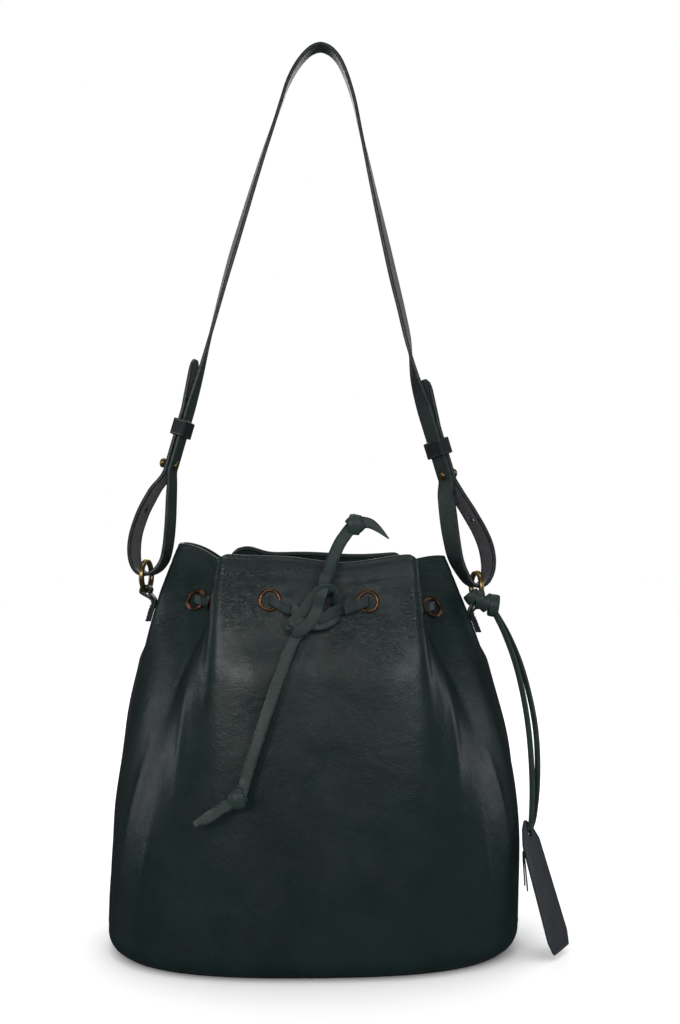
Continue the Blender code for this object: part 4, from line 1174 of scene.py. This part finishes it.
depth = 2 * LEATHER + GAP - 0.0005
for which in ALL_EYELETS:
    at, axis, off = eyelet(*which)
    inner = -depth - off
    profile = [(EYELET_BORE, inner - 0.0006), (EYELET_FLANGE - 0.0014, inner - 0.0007),
               (EYELET_FLANGE - 0.0010, inner - 0.0003), (EYELET_FLANGE - 0.0012, inner),
               (EYELET_BARREL, inner), (EYELET_BARREL, off), (EYELET_FLANGE - 0.0002, off)]
    for i in range(7):
        angle = math.radians(-20 + 100 * i / 6)
        profile.append((EYELET_FLANGE - 0.0005 + 0.00045 * math.cos(angle),
                        off + 0.0003 + 0.00032 * math.sin(angle)))
    for i in range(9):
        angle = math.pi * (0.25 + i / 8)
        profile.append((EYELET_BORE + 0.00085 + 0.00085 * math.cos(angle),
                        off + 0.00035 + 0.00065 * math.sin(angle)))
    profile.append((EYELET_BORE, off - 0.0004))
    made = turned(f"{eyelet_name(*which)}_metal", profile, 40, at, axis, EYELET_BRASS, "bag")
    finish_piece(made, "eyelet_brass", eyelet_name(*which))


# ---- rings and their tabs ----

for side, word in ((1, "right"), (-1, "left")):
    centre = Vector((side * RING_X, 0, RING_Z[side]))
    level = Vector((side * math.sin(RING_TURN), -math.cos(RING_TURN), 0))
    axis = Vector((math.cos(RING_TURN) * side, math.sin(RING_TURN), 0))
    profile = []
    for k in range(14):
        angle = 2 * math.pi * k / 14
        profile.append((RING_RADIUS + VISIBLE_WIRE * math.cos(angle), VISIBLE_WIRE * math.sin(angle)))
    made = turned(f"ring_{word}_wire", profile, 72, centre, axis, RING_BRASS, f"ring_{word}")
    finish_piece(made, "ring_brass", f"ring_{word}")

    wire = centre - Vector((0, 0, RING_RADIUS))
    inner, thick, half = 0.0027, 0.0015, 0.0036
    out = Vector((side, 0, 0))
    middle = inner + thick / 2
    seam = 1 if side > 0 else 3
    foot_z = TAB_FOOT_Z[side]
    feet = [wall_point(seam, foot_z + rise, -2.6 * GAP - thick / 2) for rise in (0, 0.008, 0.015)]
    step = out * (thick + 0.0004)
    line = list(feet)
    for i in range(9):
        angle = math.radians(215 - 250 * i / 8)
        line.append(wire + middle * (out * math.cos(angle) + Vector((0, 0, math.sin(angle)))))
    line += [foot + step for foot in reversed(feet)]
    widths = []
    for spot in line:
        drop = min(1.0, max(0.0, (spot.z - foot_z - 0.010) / 0.010))
        widths.append(tuple(Vector((0, -1, 0)).lerp(level, drop).normalized()))
    fine = smooth_line(line, 6)
    wide = smooth_line(widths, 6)
    made = strip(f"ring_tab_{word}_leather", fine, wide, half, thick / 2,
                 (BODY, BODY_BACK, EDGE), "bag", 0.0005)
    finish_piece(made, "body_leather", f"ring_tab_{word}")
    rows = []
    outer_leg = [foot + step + out * (thick / 2 + 0.00005) for foot in feet]
    for off in (-0.0026, 0.0026):
        rows.append((np.array([tuple(p + Vector((0, off, 0))) for p in outer_leg]),
                     np.tile(tuple(out), (3, 1)), 0.0020, 0.0027))
    stitches(f"ring_tab_{word}_stitches", rows, STITCH, "bag", "body_leather", 0.00024)


# ---- shoulder strap ----

def strap_line(side, z):
    """The straight stretch of strap at the stud and keeper."""
    return Vector((side * (STRAP_LINE_X[side] + (STRAP_LINE_Z - z) * STRAP_SLOPE[side]), 0, z))


def strap_frame(side):
    up = (strap_line(side, 0.41) - strap_line(side, 0.34)).normalized()
    angle = math.radians(STUD_TURN[side])
    wide = Vector((-side * math.sin(angle), -math.cos(angle), 0))
    wide = (wide - up * wide.dot(up)).normalized()
    out = up.cross(wide)
    return up, (out if out.x * side > 0 else -out), wide


def tail_line(side, z):
    """The buttoned tail outside the straight stretch, springing off above the keeper."""
    _, out, _ = strap_frame(side)
    spread = TIP_SPREAD * max(0.0, z - KEEPER_Z[side] - KEEPER_TRAVEL)
    return strap_line(side, z) + out * (LAYER_STEP + spread)


def strap_places(side):
    """Centre points of the strap with the turn of its face, from one tail's tip up to the top."""
    stud_z, stud_turn = STUD_Z[side], STUD_TURN[side]
    places = []
    spread_z = KEEPER_Z[side] + KEEPER_TRAVEL
    straight = (spread_z + 0.008, spread_z, spread_z - 0.008, 0.356)
    for z in (TIP_Z[side], *straight, stud_z + 0.006, stud_z, stud_z - 0.006):
        places.append((tail_line(side, z), stud_turn))
    for x, z, turn in LOOP_PLACES[side]:
        places.append((Vector((side * x, 0, z)), turn))
    for z in (stud_z - 0.004, stud_z):
        places.append((strap_line(side, z), stud_turn))
    for z, share in STRAIGHT_PLACES:
        places.append((strap_line(side, z), stud_turn * share))
    for x, z, turn in TOP_PLACES[side]:
        places.append((Vector((side * x, 0, z)), turn))
    return places


def centripetal(points, step):
    """A smooth curve through unevenly spaced points, with every value interpolated alongside."""
    values = np.array(points, float)
    gaps = np.linalg.norm(np.diff(values[:, :3], axis=0), axis=1) ** 0.5
    knots = np.concatenate([[0.0], np.cumsum(gaps)])
    slopes = np.zeros_like(values)
    for k in range(1, len(values) - 1):
        before = (values[k] - values[k - 1]) / gaps[k - 1]
        after = (values[k + 1] - values[k]) / gaps[k]
        slopes[k] = (before * gaps[k] + after * gaps[k - 1]) / (gaps[k] + gaps[k - 1])
    slopes[0] = (values[1] - values[0]) / gaps[0]
    slopes[-1] = (values[-1] - values[-2]) / gaps[-1]
    line = []
    for k in range(len(values) - 1):
        h = knots[k + 1] - knots[k]
        count = max(3, int(round(np.linalg.norm(values[k + 1, :3] - values[k, :3]) / step)))
        for i in range(count):
            t = i / count
            line.append((2 * t ** 3 - 3 * t ** 2 + 1) * values[k] + (t ** 3 - 2 * t ** 2 + t) * h * slopes[k]
                        + (-2 * t ** 3 + 3 * t ** 2) * values[k + 1] + (t ** 3 - t ** 2) * h * slopes[k + 1])
    line.append(values[-1])
    return np.array(line)


# The values carried along the strap: place, and the direction of its width.
carried = []
for side, places in ((-1, strap_places(-1)), (0, [(STRAP_TOP, 0)]), (1, list(reversed(strap_places(1))))):
    for spot, turn in places:
        angle = math.radians(turn)
        carried.append((*spot, -side * math.sin(angle), -math.cos(angle), 0.0))
fine = centripetal(carried, 0.0028)
strap_centre, strap_wide = fine[:, :3], fine[:, 3:]
along_strap = np.concatenate([[0], np.cumsum(np.linalg.norm(np.diff(strap_centre, axis=0), axis=1))])
from_end = np.minimum(along_strap, along_strap[-1] - along_strap)
tip = np.sqrt(np.clip(1 - (1 - np.clip(from_end / 0.0105, 0, 1)) ** 2, 0.02, 1))
half_width = STRAP_WIDTH / 2 * (0.30 + 0.70 * tip)
strap = strip("strap_leather_strip", strap_centre, strap_wide, half_width, STRAP_THICKNESS / 2,
              (STRAP, FLESH, EDGE), "strap", 0.0009, 0.0)
finish_piece(strap, "strap_leather", "shoulder_strap")

for side, word in ((1, "right"), (-1, "left")):
    up, out, wide = strap_frame(side)
    spot = strap_line(side, STUD_Z[side])
    half = STRAP_THICKNESS / 2
    cut(strap, pin(spot + out * LAYER_STEP / 2, out, 0.0025, 0.0060, 24, EDGE))
    cut(strap, pin(spot + out * LAYER_STEP + up * 0.0040, out, 0.0006, 0.0022, 12, EDGE, 4.0, up))
    before, here, after = LOOP_PLACES[side][SPARE_HOLE - 1:SPARE_HOLE + 2]
    down = Vector((side * (after[0] - before[0]), 0, after[1] - before[1])).normalized()
    angle = math.radians(here[2])
    across = Vector((-side * math.sin(angle), -math.cos(angle), 0))
    across = (across - down * across.dot(down)).normalized()
    facing_out = down.cross(across)
    middle = Vector((side * here[0], 0, here[1]))
    cut(strap, pin(middle, facing_out, 0.0020, 0.0060, 20, EDGE))
    cut(strap, pin(middle - down * 0.0028, facing_out, 0.0006, 0.0060, 12, EDGE, 4.0, down))

    outer = LAYER_STEP + half + 0.0004
    profile = [(0, -half), (0.0019, -half), (0.0019, outer + 0.0010), (0.00195, outer + 0.0012)]
    for i in range(1, 13):
        angle = math.radians(-62 + 152 * i / 12)
        profile.append((0.0037 * math.cos(angle), outer + 0.0036 + 0.0025 * math.sin(angle)))
    profile[-1] = (0, profile[-1][1])
    stud = turned(f"stud_{word}_metal", profile, 32, spot, out, RING_BRASS, "strap", closed=False)
    finish_piece(stud, "ring_brass", f"stud_{word}")
    profile = [(0, -half - 0.0015), (0.0024, -half - 0.0014),
               (0.0030, -half - 0.0011), (0.0032, -half - 0.0008),
               (0.0032, -half - 0.0005), (0.0030, -half - 0.0004), (0, -half - 0.0004)]
    screw = turned(f"stud_screw_{word}_metal", profile, 32, spot, out, RING_BRASS, "strap", closed=False)
    slot_cut = pin(spot - out * (half + 0.0015), out, 0.00030, 0.0005, 8, RING_BRASS, 14.0,
                   (wide + up).normalized())
    cut(screw, slot_cut)
    screw.data.set_sharp_from_angle(angle=math.radians(40))
    finish_piece(screw, "ring_brass", f"stud_screw_{word}")

    # Keeper: a narrow strip folded round both layers and butted at the back.
    clear, thickness, height = 0.00055, 0.0016, 0.012
    a = STRAP_WIDTH / 2 + clear + thickness / 2
    b = (LAYER_STEP + STRAP_THICKNESS) / 2 + clear + 0.0003 + thickness / 2
    centre = strap_line(side, KEEPER_Z[side]) + out * LAYER_STEP / 2
    line = []
    r = 0.0013
    for sa, sb, start in ((1, 1, 0), (-1, 1, 90), (-1, -1, 180), (1, -1, 270)):
        for i in range(7):
            angle = math.radians(start + 15 * i)
            spot = centre + wide * (sa * (a - r) + r * math.cos(angle))
            spot = spot + out * (sb * (b - r) + r * math.sin(angle))
            line.append(tuple(spot))
    dense = []
    for p, q in zip(line, line[1:] + line[:1]):
        gap = np.linalg.norm(np.subtract(q, p))
        count = max(1, int(gap / 0.0016))
        for i in range(count):
            dense.append(np.array(p) + (np.array(q) - np.array(p)) * i / count)
    keeper = strip_loop(f"keeper_{word}_leather", np.array(dense), np.array(tuple(up)),
                        height / 2, thickness / 2,
                        (KEEPER, KEEPER, EDGE), f"keeper_{word}", 0.00065)
    finish_piece(keeper, "strap_leather", f"keeper_{word}")


# ---- drawstring ----

def knot_middle():
    return wall_point(0, KNOT_Z) + Vector((0, -KNOT_HALF[1] - 0.0017, 0))


def bend_points(level, radius=0.0031, steps=6):
    centre = level - math.copysign(radius, level)
    points = []
    for i in range(steps + 1):
        angle = math.pi / 2 * i / steps
        points.append((radius * (1 - math.cos(angle)),
                       centre + math.copysign(radius, level) * math.sin(angle)))
    return points + [(0.0078, level)]


order = [(-1, -1, k) for k in (0, 1, 2)] + [(-1, 1, k) for k in (2, 1, 0)]
order += [(1, 1, k) for k in (0, 1, 2)] + [(1, -1, k) for k in (2, 1, 0)]
places = [eyelet(*which) for which in order]
LACE_TO_KNOT = 0.0013
knot_left = knot_middle() + Vector((-KNOT_HALF[0] - LACE_TO_KNOT, 0, 0))
knot_right = knot_middle() + Vector((KNOT_HALF[0] + LACE_TO_KNOT, 0, 0))
route = [knot_left]
for i, (spot, normal, off) in enumerate(places):
    outside_first = i % 2 == 0
    over = 0.0032 + off
    under = -(0.0030 + 0.0032 + off)
    before = places[i - 1][0] if i > 0 else knot_left
    after = places[i + 1][0] if i < 11 else knot_right
    towards = []
    for other in (before, after):
        flat = other - spot
        flat -= normal * flat.dot(normal)
        towards.append(flat.normalized())
    levels = (over, under) if outside_first else (under, over)
    for level, way, order_of in ((levels[0], towards[0], -1), (levels[1], towards[1], 1)):
        for s, h in bend_points(level)[::order_of]:
            route.append(spot + way * s + normal * h)
route.append(knot_right)
lace_line = evenly(np.array([tuple(p) for p in route]), 0.0016)
lace_line = blurred(lace_line, 1)
lace_wide = np.tile((0.0, 0.0, 1.0), (len(lace_line), 1))
drawstring = strip("drawstring_lace", lace_line, lace_wide, LACE_WIDTH / 2 - 0.0001,
                   LACE_THICKNESS / 2, (LACE, LACE, EDGE),
                   "bag", 0.0006, 0.0)
finish_piece(drawstring, "lace_leather", "drawstring")

# The lace's two rows of edge stitching, on both faces.
along = unit(np.gradient(lace_line, axis=0))
wide = unit(lace_wide - along * (lace_wide * along).sum(axis=1, keepdims=True))
across = np.cross(along, wide)
rows = []
for sign in (1, -1):
    for row in (1, -1):
        line = lace_line + wide * row * 0.0023 + across * sign * (LACE_THICKNESS / 2 + 0.00003)
        rows.append((line, across * sign, 0.0017, 0.0024))
stitches("drawstring_stitches", rows, STITCH, "bag", "lace_leather", 0.00020)

# ---- the tied knot: one band folded over the crossing strands ----

KNOT_BAND = (
    ((0.0155, -0.0838, 0.2440), (0.30, 0.30, -0.90)),
    ((0.0153, -0.0865, 0.2500), (0.42, 0.50, -0.75)),
    ((0.0114, -0.0895, 0.2545), (0.45, 0.55, -0.70)),
    ((0.0040, -0.0918, 0.2530), (0.72, 0.25, -0.64)),
    ((-0.0011, -0.0927, 0.2473), (0.84, 0.05, -0.53)),
    ((-0.0060, -0.0931, 0.2400), (0.80, 0.0, -0.58)),
    ((-0.0115, -0.0934, 0.2345), (0.70, 0.0, -0.71)),
    ((-0.0150, -0.0947, 0.2305), (0.68, 0.0, -0.73)),
    ((-0.0133, -0.0967, 0.2272), (0.70, -0.05, -0.71)),
    ((-0.0069, -0.0977, 0.2282), (0.74, -0.05, -0.67)),
    ((-0.0011, -0.0978, 0.2340), (0.80, 0.0, -0.60)),
    ((0.0028, -0.0966, 0.2415), (0.88, 0.0, -0.47)),
    ((0.0041, -0.0935, 0.2480), (0.93, 0.05, -0.35)),
)
KNOT_LEFT = (
    ((-0.0190, -0.0860, 0.2425), (0, 0, 1)),
    ((-0.0140, -0.0882, 0.2415), (0.15, 0, 1)),
    ((-0.0085, -0.0900, 0.2385), (0.30, 0, 1)),
    ((-0.0035, -0.0906, 0.2355), (0.30, 0, 1)),
)
KNOT_RIGHT = (
    ((0.0190, -0.0855, 0.2415), (0, 0, 1)),
    ((0.0140, -0.0880, 0.2395), (-0.20, 0, 1)),
    ((0.0085, -0.0905, 0.2365), (-0.25, 0, 1)),
    ((0.0030, -0.0922, 0.2345), (-0.15, 0, 1)),
)
KNOT_UNDER = (
    ((0.0160, -0.0845, 0.2420), (0.3, 0, 1)),
    ((0.0155, -0.0868, 0.2370), (-0.2, 0, 1)),
    ((0.0095, -0.0893, 0.2325), (-0.1, 0.2, 1)),
    ((0.0025, -0.0915, 0.2310), (0, 0.2, 1)),
    ((-0.0060, -0.0928, 0.2318), (0.2, 0.1, 1)),
)
KNOT_UP = (
    ((0.0020, -0.0908, 0.2430), (0.9, 0, -0.3)),
    ((0.0048, -0.0922, 0.2490), (0.92, 0, -0.32)),
    ((0.0066, -0.0912, 0.2550), (0.92, 0, -0.34)),
    ((0.0076, -0.0900, 0.2585), (0.92, 0, -0.34)),
)
KNOT_DOWN = (
    ((-0.0050, -0.0925, 0.2370), (0.9, 0, -0.35)),
    ((-0.0080, -0.0940, 0.2310), (0.92, 0, -0.35)),
    ((-0.0096, -0.0935, 0.2255), (0.93, 0, -0.30)),
)


def knot_strands(name, strands, body, width, thickness):
    """One mesh of several flat strands, each given by places and directions of its width."""
    vertices, faces = [], []
    for strand in strands:
        fine = centripetal([(*place, *direction) for place, direction in strand], 0.0009)
        rings = strip_rings(fine[:, :3], fine[:, 3:], width / 2, thickness / 2, 0.0006, 0.00012)[0]
        base = len(vertices)
        count, sides = rings.shape[:2]
        faces += grid_faces(count, sides, False, True, base)
        vertices += list(rings.reshape(-1, 3))
        a = len(vertices)
        vertices += [rings[0].mean(axis=0), rings[-1].mean(axis=0)]
        for k in range(sides):
            n = (k + 1) % sides
            faces.append((a, base + k, base + n))
            faces.append((a + 1, base + (count - 1) * sides + k, base + (count - 1) * sides + n))
    return add_mesh(name, vertices, faces, LACE, body, None, 50)


knot = knot_strands("tied_lace_knot", (KNOT_BAND, KNOT_LEFT, KNOT_RIGHT, KNOT_UNDER, KNOT_UP, KNOT_DOWN),
                    "bag", 0.0076, 0.0021)
finish_piece(knot, "lace_leather", "lace_knot")

rows = []
for strand, signs in ((KNOT_BAND, (1, -1)), (KNOT_LEFT, (1, -1)), (KNOT_RIGHT, (1, -1))):
    fine = centripetal([(*place, *direction) for place, direction in strand], 0.0009)
    line, wide = fine[:, :3], fine[:, 3:]
    along = unit(np.gradient(line, axis=0))
    wide = unit(wide - along * (wide * along).sum(axis=1, keepdims=True))
    across = np.cross(along, wide)
    for sign in signs:
        for row in (1, -1):
            rows.append((line + wide * row * 0.0028 + across * sign * 0.00110, across * sign, 0.0017, 0.0024))
stitches("lace_knot_stitches", rows, STITCH, "bag", "lace_leather", 0.00020)


def lace_stitches(name, line, wide, half_thick, body, until, offset=0.0022):
    """Edge stitching on both faces of a free lace, up to a share of its length."""
    count = int(len(line) * until)
    line, wide = line[:count], wide[:count]
    along = unit(np.gradient(line, axis=0))
    wide = unit(wide - along * (wide * along).sum(axis=1, keepdims=True))
    across = np.cross(along, wide)
    rows = []
    for sign in (1, -1):
        for row in (1, -1):
            place = line + wide * row * offset + across * sign * (half_thick + 0.00004)
            rows.append((place, across * sign, 0.0017, 0.0024))
    return stitches(name, rows, STITCH, body, "lace_leather", 0.00020)


lace_stitches("upper_lace_stitches", upper_line, upper_wide, 0.00125, "upper_lace_end", 0.80, 0.0030)
lace_stitches("lower_lace_stitches", lower_line, lower_wide, 0.00125, "lower_lace_end", 0.90, 0.0029)


# ---- hang tag ----

down = (TAG_FOOT - TAG_TOP).normalized()
across = (TAG_ACROSS - down * TAG_ACROSS.dot(down)).normalized()
face = down.cross(across)
tag_length = (TAG_FOOT - TAG_TOP).length


def tag_half(share):
    """The tag's half width at a share of its length: a rounded point, flared sides and clipped feet."""
    half = TAG_HALF_WIDTH
    return half * np.interp(share, (0, 0.05, 0.17, 0.5, 0.9, 1.0), (0.05, 0.42, 0.82, 0.9, 1.0, 0.78))


def tag_surface(s, d):
    """A place on the tag: s across from -1 to 1, d its share of the length. The leather curls a little."""
    curl = 0.0004 * math.sin(d * 2.6)
    spot = TAG_TOP + across * (s * float(tag_half(d)) * 0.985) + down * (d * tag_length)
    return spot + face * curl * (1 - s * s)


shares = np.concatenate([
    np.linspace(0.0, 0.2, 22)[:-1], np.linspace(0.2, 0.88, 46)[:-1], np.linspace(0.88, 1.0, 14)])
spread = np.linspace(-1, 1, 31)
tops, bottoms = [], []
half_thick = TAG_THICKNESS / 2 - 0.0001
for d in shares:
    top_row, bottom_row = [], []
    for s in spread:
        spot = tag_surface(s, d)
        edge = min((1 - abs(s)) * float(tag_half(d)), d * tag_length + 0.0002, (1 - d) * tag_length + 0.0002)
        fall = half_thick * (1 - math.sqrt(max(0.0, 1 - (1 - min(edge / 0.0011, 1)) ** 2)) * 0.62 - 0.38)
        frame_line = -0.00030 * math.exp(-((edge - 0.0027) / 0.00040) ** 2)
        # Blind-embossed lattice of small lozenges on the lower half.
        x, y = s * float(tag_half(d)), d * tag_length
        lattice = abs(math.sin((x + y * 0.55) * 1050)) * abs(math.sin((x - y * 0.55) * 1050))
        inside = (1 if 0.30 < d < 0.90 else 0) * min(1, max(0, (edge - 0.0046) / 0.0008))
        emboss = -0.00028 * inside * max(0.0, lattice - 0.25)
        top_row.append(spot + face * (half_thick - fall + frame_line + emboss))
        bottom_row.append(spot - face * (half_thick - fall + 0.3 * frame_line))
    tops.append(top_row)
    bottoms.append(bottom_row)
vertices = [v for row in tops for v in row] + [v for row in bottoms for v in row]
n_s, n_d = len(spread), len(shares)
faces = grid_faces(n_d, n_s, False, False) + grid_faces(n_d, n_s, False, False, n_d * n_s)
index = [0] * len(faces)
border = [(i, 0) for i in range(n_d)] + [(n_d - 1, k) for k in range(1, n_s)]
border += [(i, n_s - 1) for i in range(n_d - 2, -1, -1)] + [(0, k) for k in range(n_s - 2, 0, -1)]
for (i, k), (j, n) in zip(border, border[1:] + border[:1]):
    faces.append((i * n_s + k, j * n_s + n, n_d * n_s + j * n_s + n, n_d * n_s + i * n_s + k))
    index.append(1)
tag = add_mesh("hang_tag_leather", vertices, faces, [TAG, EDGE], "tag", index, 50)
cut(tag, pin(TAG_TOP + down * 0.0095, face, 0.0024, 0.004, 20, EDGE))
finish_piece(tag, "tag_leather", "hang_tag")

tag_knot = knot_piece("tag_lace_knot", TAG_KNOT, (1.0, 0.0, -0.42), (0.0056, 0.0040), "bag",
                      [(0.55, -0.0072, 0.86), (-0.45, -0.0015, 0.98),
                       (0.40, 0.0040, 1.0), (-0.25, 0.0092, 1.22)],
                      width=0.0072, thick=0.0022)
finish_piece(tag_knot, "lace_leather", "tag_knot")

start = TAG_TOP - across * (TAG_HALF_WIDTH * 0.82 + 0.0016) + down * 0.018
drop = Vector((0.08, 0, -1)).normalized()
side = Vector((0.35, -1, 0)).normalized()
points = [start + side * 0.0016 + drop * 0.027, start + side * 0.0014 + drop * 0.013,
          start + side * 0.0009 + drop * 0.004, start, start - side * 0.0009 + drop * 0.004,
          start - side * 0.0012 + drop * 0.012, start - side * 0.0017 + drop * 0.024]
thread_line = evenly(smooth_line(points, 8), 0.0005)
thread_wide = np.tile(tuple(face), (len(thread_line), 1))
thread = strip("waxed_thread_tails", thread_line, thread_wide, 0.0005, 0.00045, WAXED, "tag", 0.00045)
finish_piece(thread, "thread", "tag_thread")


# ---- stage: a flat pale floor, soft lights, pale surroundings ----

def make_floor():
    n = Nodes("pale_floor")
    colour = n.mix(n.noise(6, 3), (0.86, 0.86, 0.86), (0.88, 0.88, 0.88))
    finish = n.set(Base_Color=colour, Roughness=0.75, Specular_IOR_Level=0.2)
    vertices, faces = [], []
    rings = 12
    count = 64
    for r in range(rings + 1):
        radius = 6.0 * r / rings
        for k in range(count):
            angle = 2 * math.pi * k / count
            vertices.append((radius * math.cos(angle), radius * math.sin(angle), -0.0004))
    faces = grid_faces(rings + 1, count, False, True)
    mesh = bpy.data.meshes.new("floor")
    mesh.from_pydata(vertices, [], faces)
    mesh.materials.append(finish)
    floor = bpy.data.objects.new("floor", mesh)
    bpy.context.collection.objects.link(floor)
    floor.visible_glossy = False


def area_light(name, at, to, size, power, colour=(1, 1, 1)):
    data = bpy.data.lights.new(name, "AREA")
    data.shape = "RECTANGLE"
    data.size, data.size_y = size
    data.energy = power
    data.color = colour
    made = bpy.data.objects.new(name, data)
    bpy.context.collection.objects.link(made)
    made.location = at
    made.rotation_euler = (Vector(to) - Vector(at)).to_track_quat("-Z", "Y").to_euler()
    return made


make_floor()
area_light("key_left", (-0.75, -1.70, 0.72), (0, 0, 0.2), (0.40, 0.35), 5.0, (1.0, 0.99, 0.97))
area_light("key_middle", (0.05, -1.75, 0.88), (0, 0, 0.2), (0.30, 0.25), 1.0)
area_light("key_right", (0.75, -1.70, 0.72), (0, 0, 0.2), (0.35, 0.35), 2.8, (0.97, 0.99, 1.0))
area_light("side_left", (-1.6, 0.10, 0.40), (0, 0, 0.12), (0.5, 0.7), 1.8, (0.94, 0.90, 1.0))
area_light("side_right", (1.6, 0.10, 0.40), (0, 0, 0.12), (0.5, 0.7), 1.8, (0.94, 0.90, 1.0))
area_light("top", (0, 0.2, 1.9), (0, 0, 0.2), (1.2, 1.2), 5.0)
area_light("back", (0, 1.8, 1.1), (0, 0, 0.3), (1.4, 0.8), 9.0)

world = bpy.data.worlds.new("pale")
bpy.context.scene.world = world
world.use_nodes = True
tree = world.node_tree
tree.nodes.clear()
output = tree.nodes.new("ShaderNodeOutputWorld")
seen = tree.nodes.new("ShaderNodeBackground")
seen.inputs["Color"].default_value = (1, 1, 1, 1)
seen.inputs["Strength"].default_value = 1.0
lit = tree.nodes.new("ShaderNodeBackground")
lit.inputs["Color"].default_value = (1.0, 1.0, 1.0, 1)
lit.inputs["Strength"].default_value = 1.28
mirrored = tree.nodes.new("ShaderNodeBackground")
mirrored.inputs["Color"].default_value = (0.80, 0.84, 0.90, 1)
mirrored.inputs["Strength"].default_value = 0.04
path = tree.nodes.new("ShaderNodeLightPath")
first = tree.nodes.new("ShaderNodeMixShader")
second = tree.nodes.new("ShaderNodeMixShader")
tree.links.new(path.outputs["Is Glossy Ray"], first.inputs["Fac"])
tree.links.new(lit.outputs["Background"], first.inputs[1])
tree.links.new(mirrored.outputs["Background"], first.inputs[2])
tree.links.new(path.outputs["Is Camera Ray"], second.inputs["Fac"])
tree.links.new(first.outputs["Shader"], second.inputs[1])
tree.links.new(seen.outputs["Background"], second.inputs[2])
tree.links.new(second.outputs["Shader"], output.inputs["Surface"])
bpy.context.scene.view_settings.view_transform = "Standard"
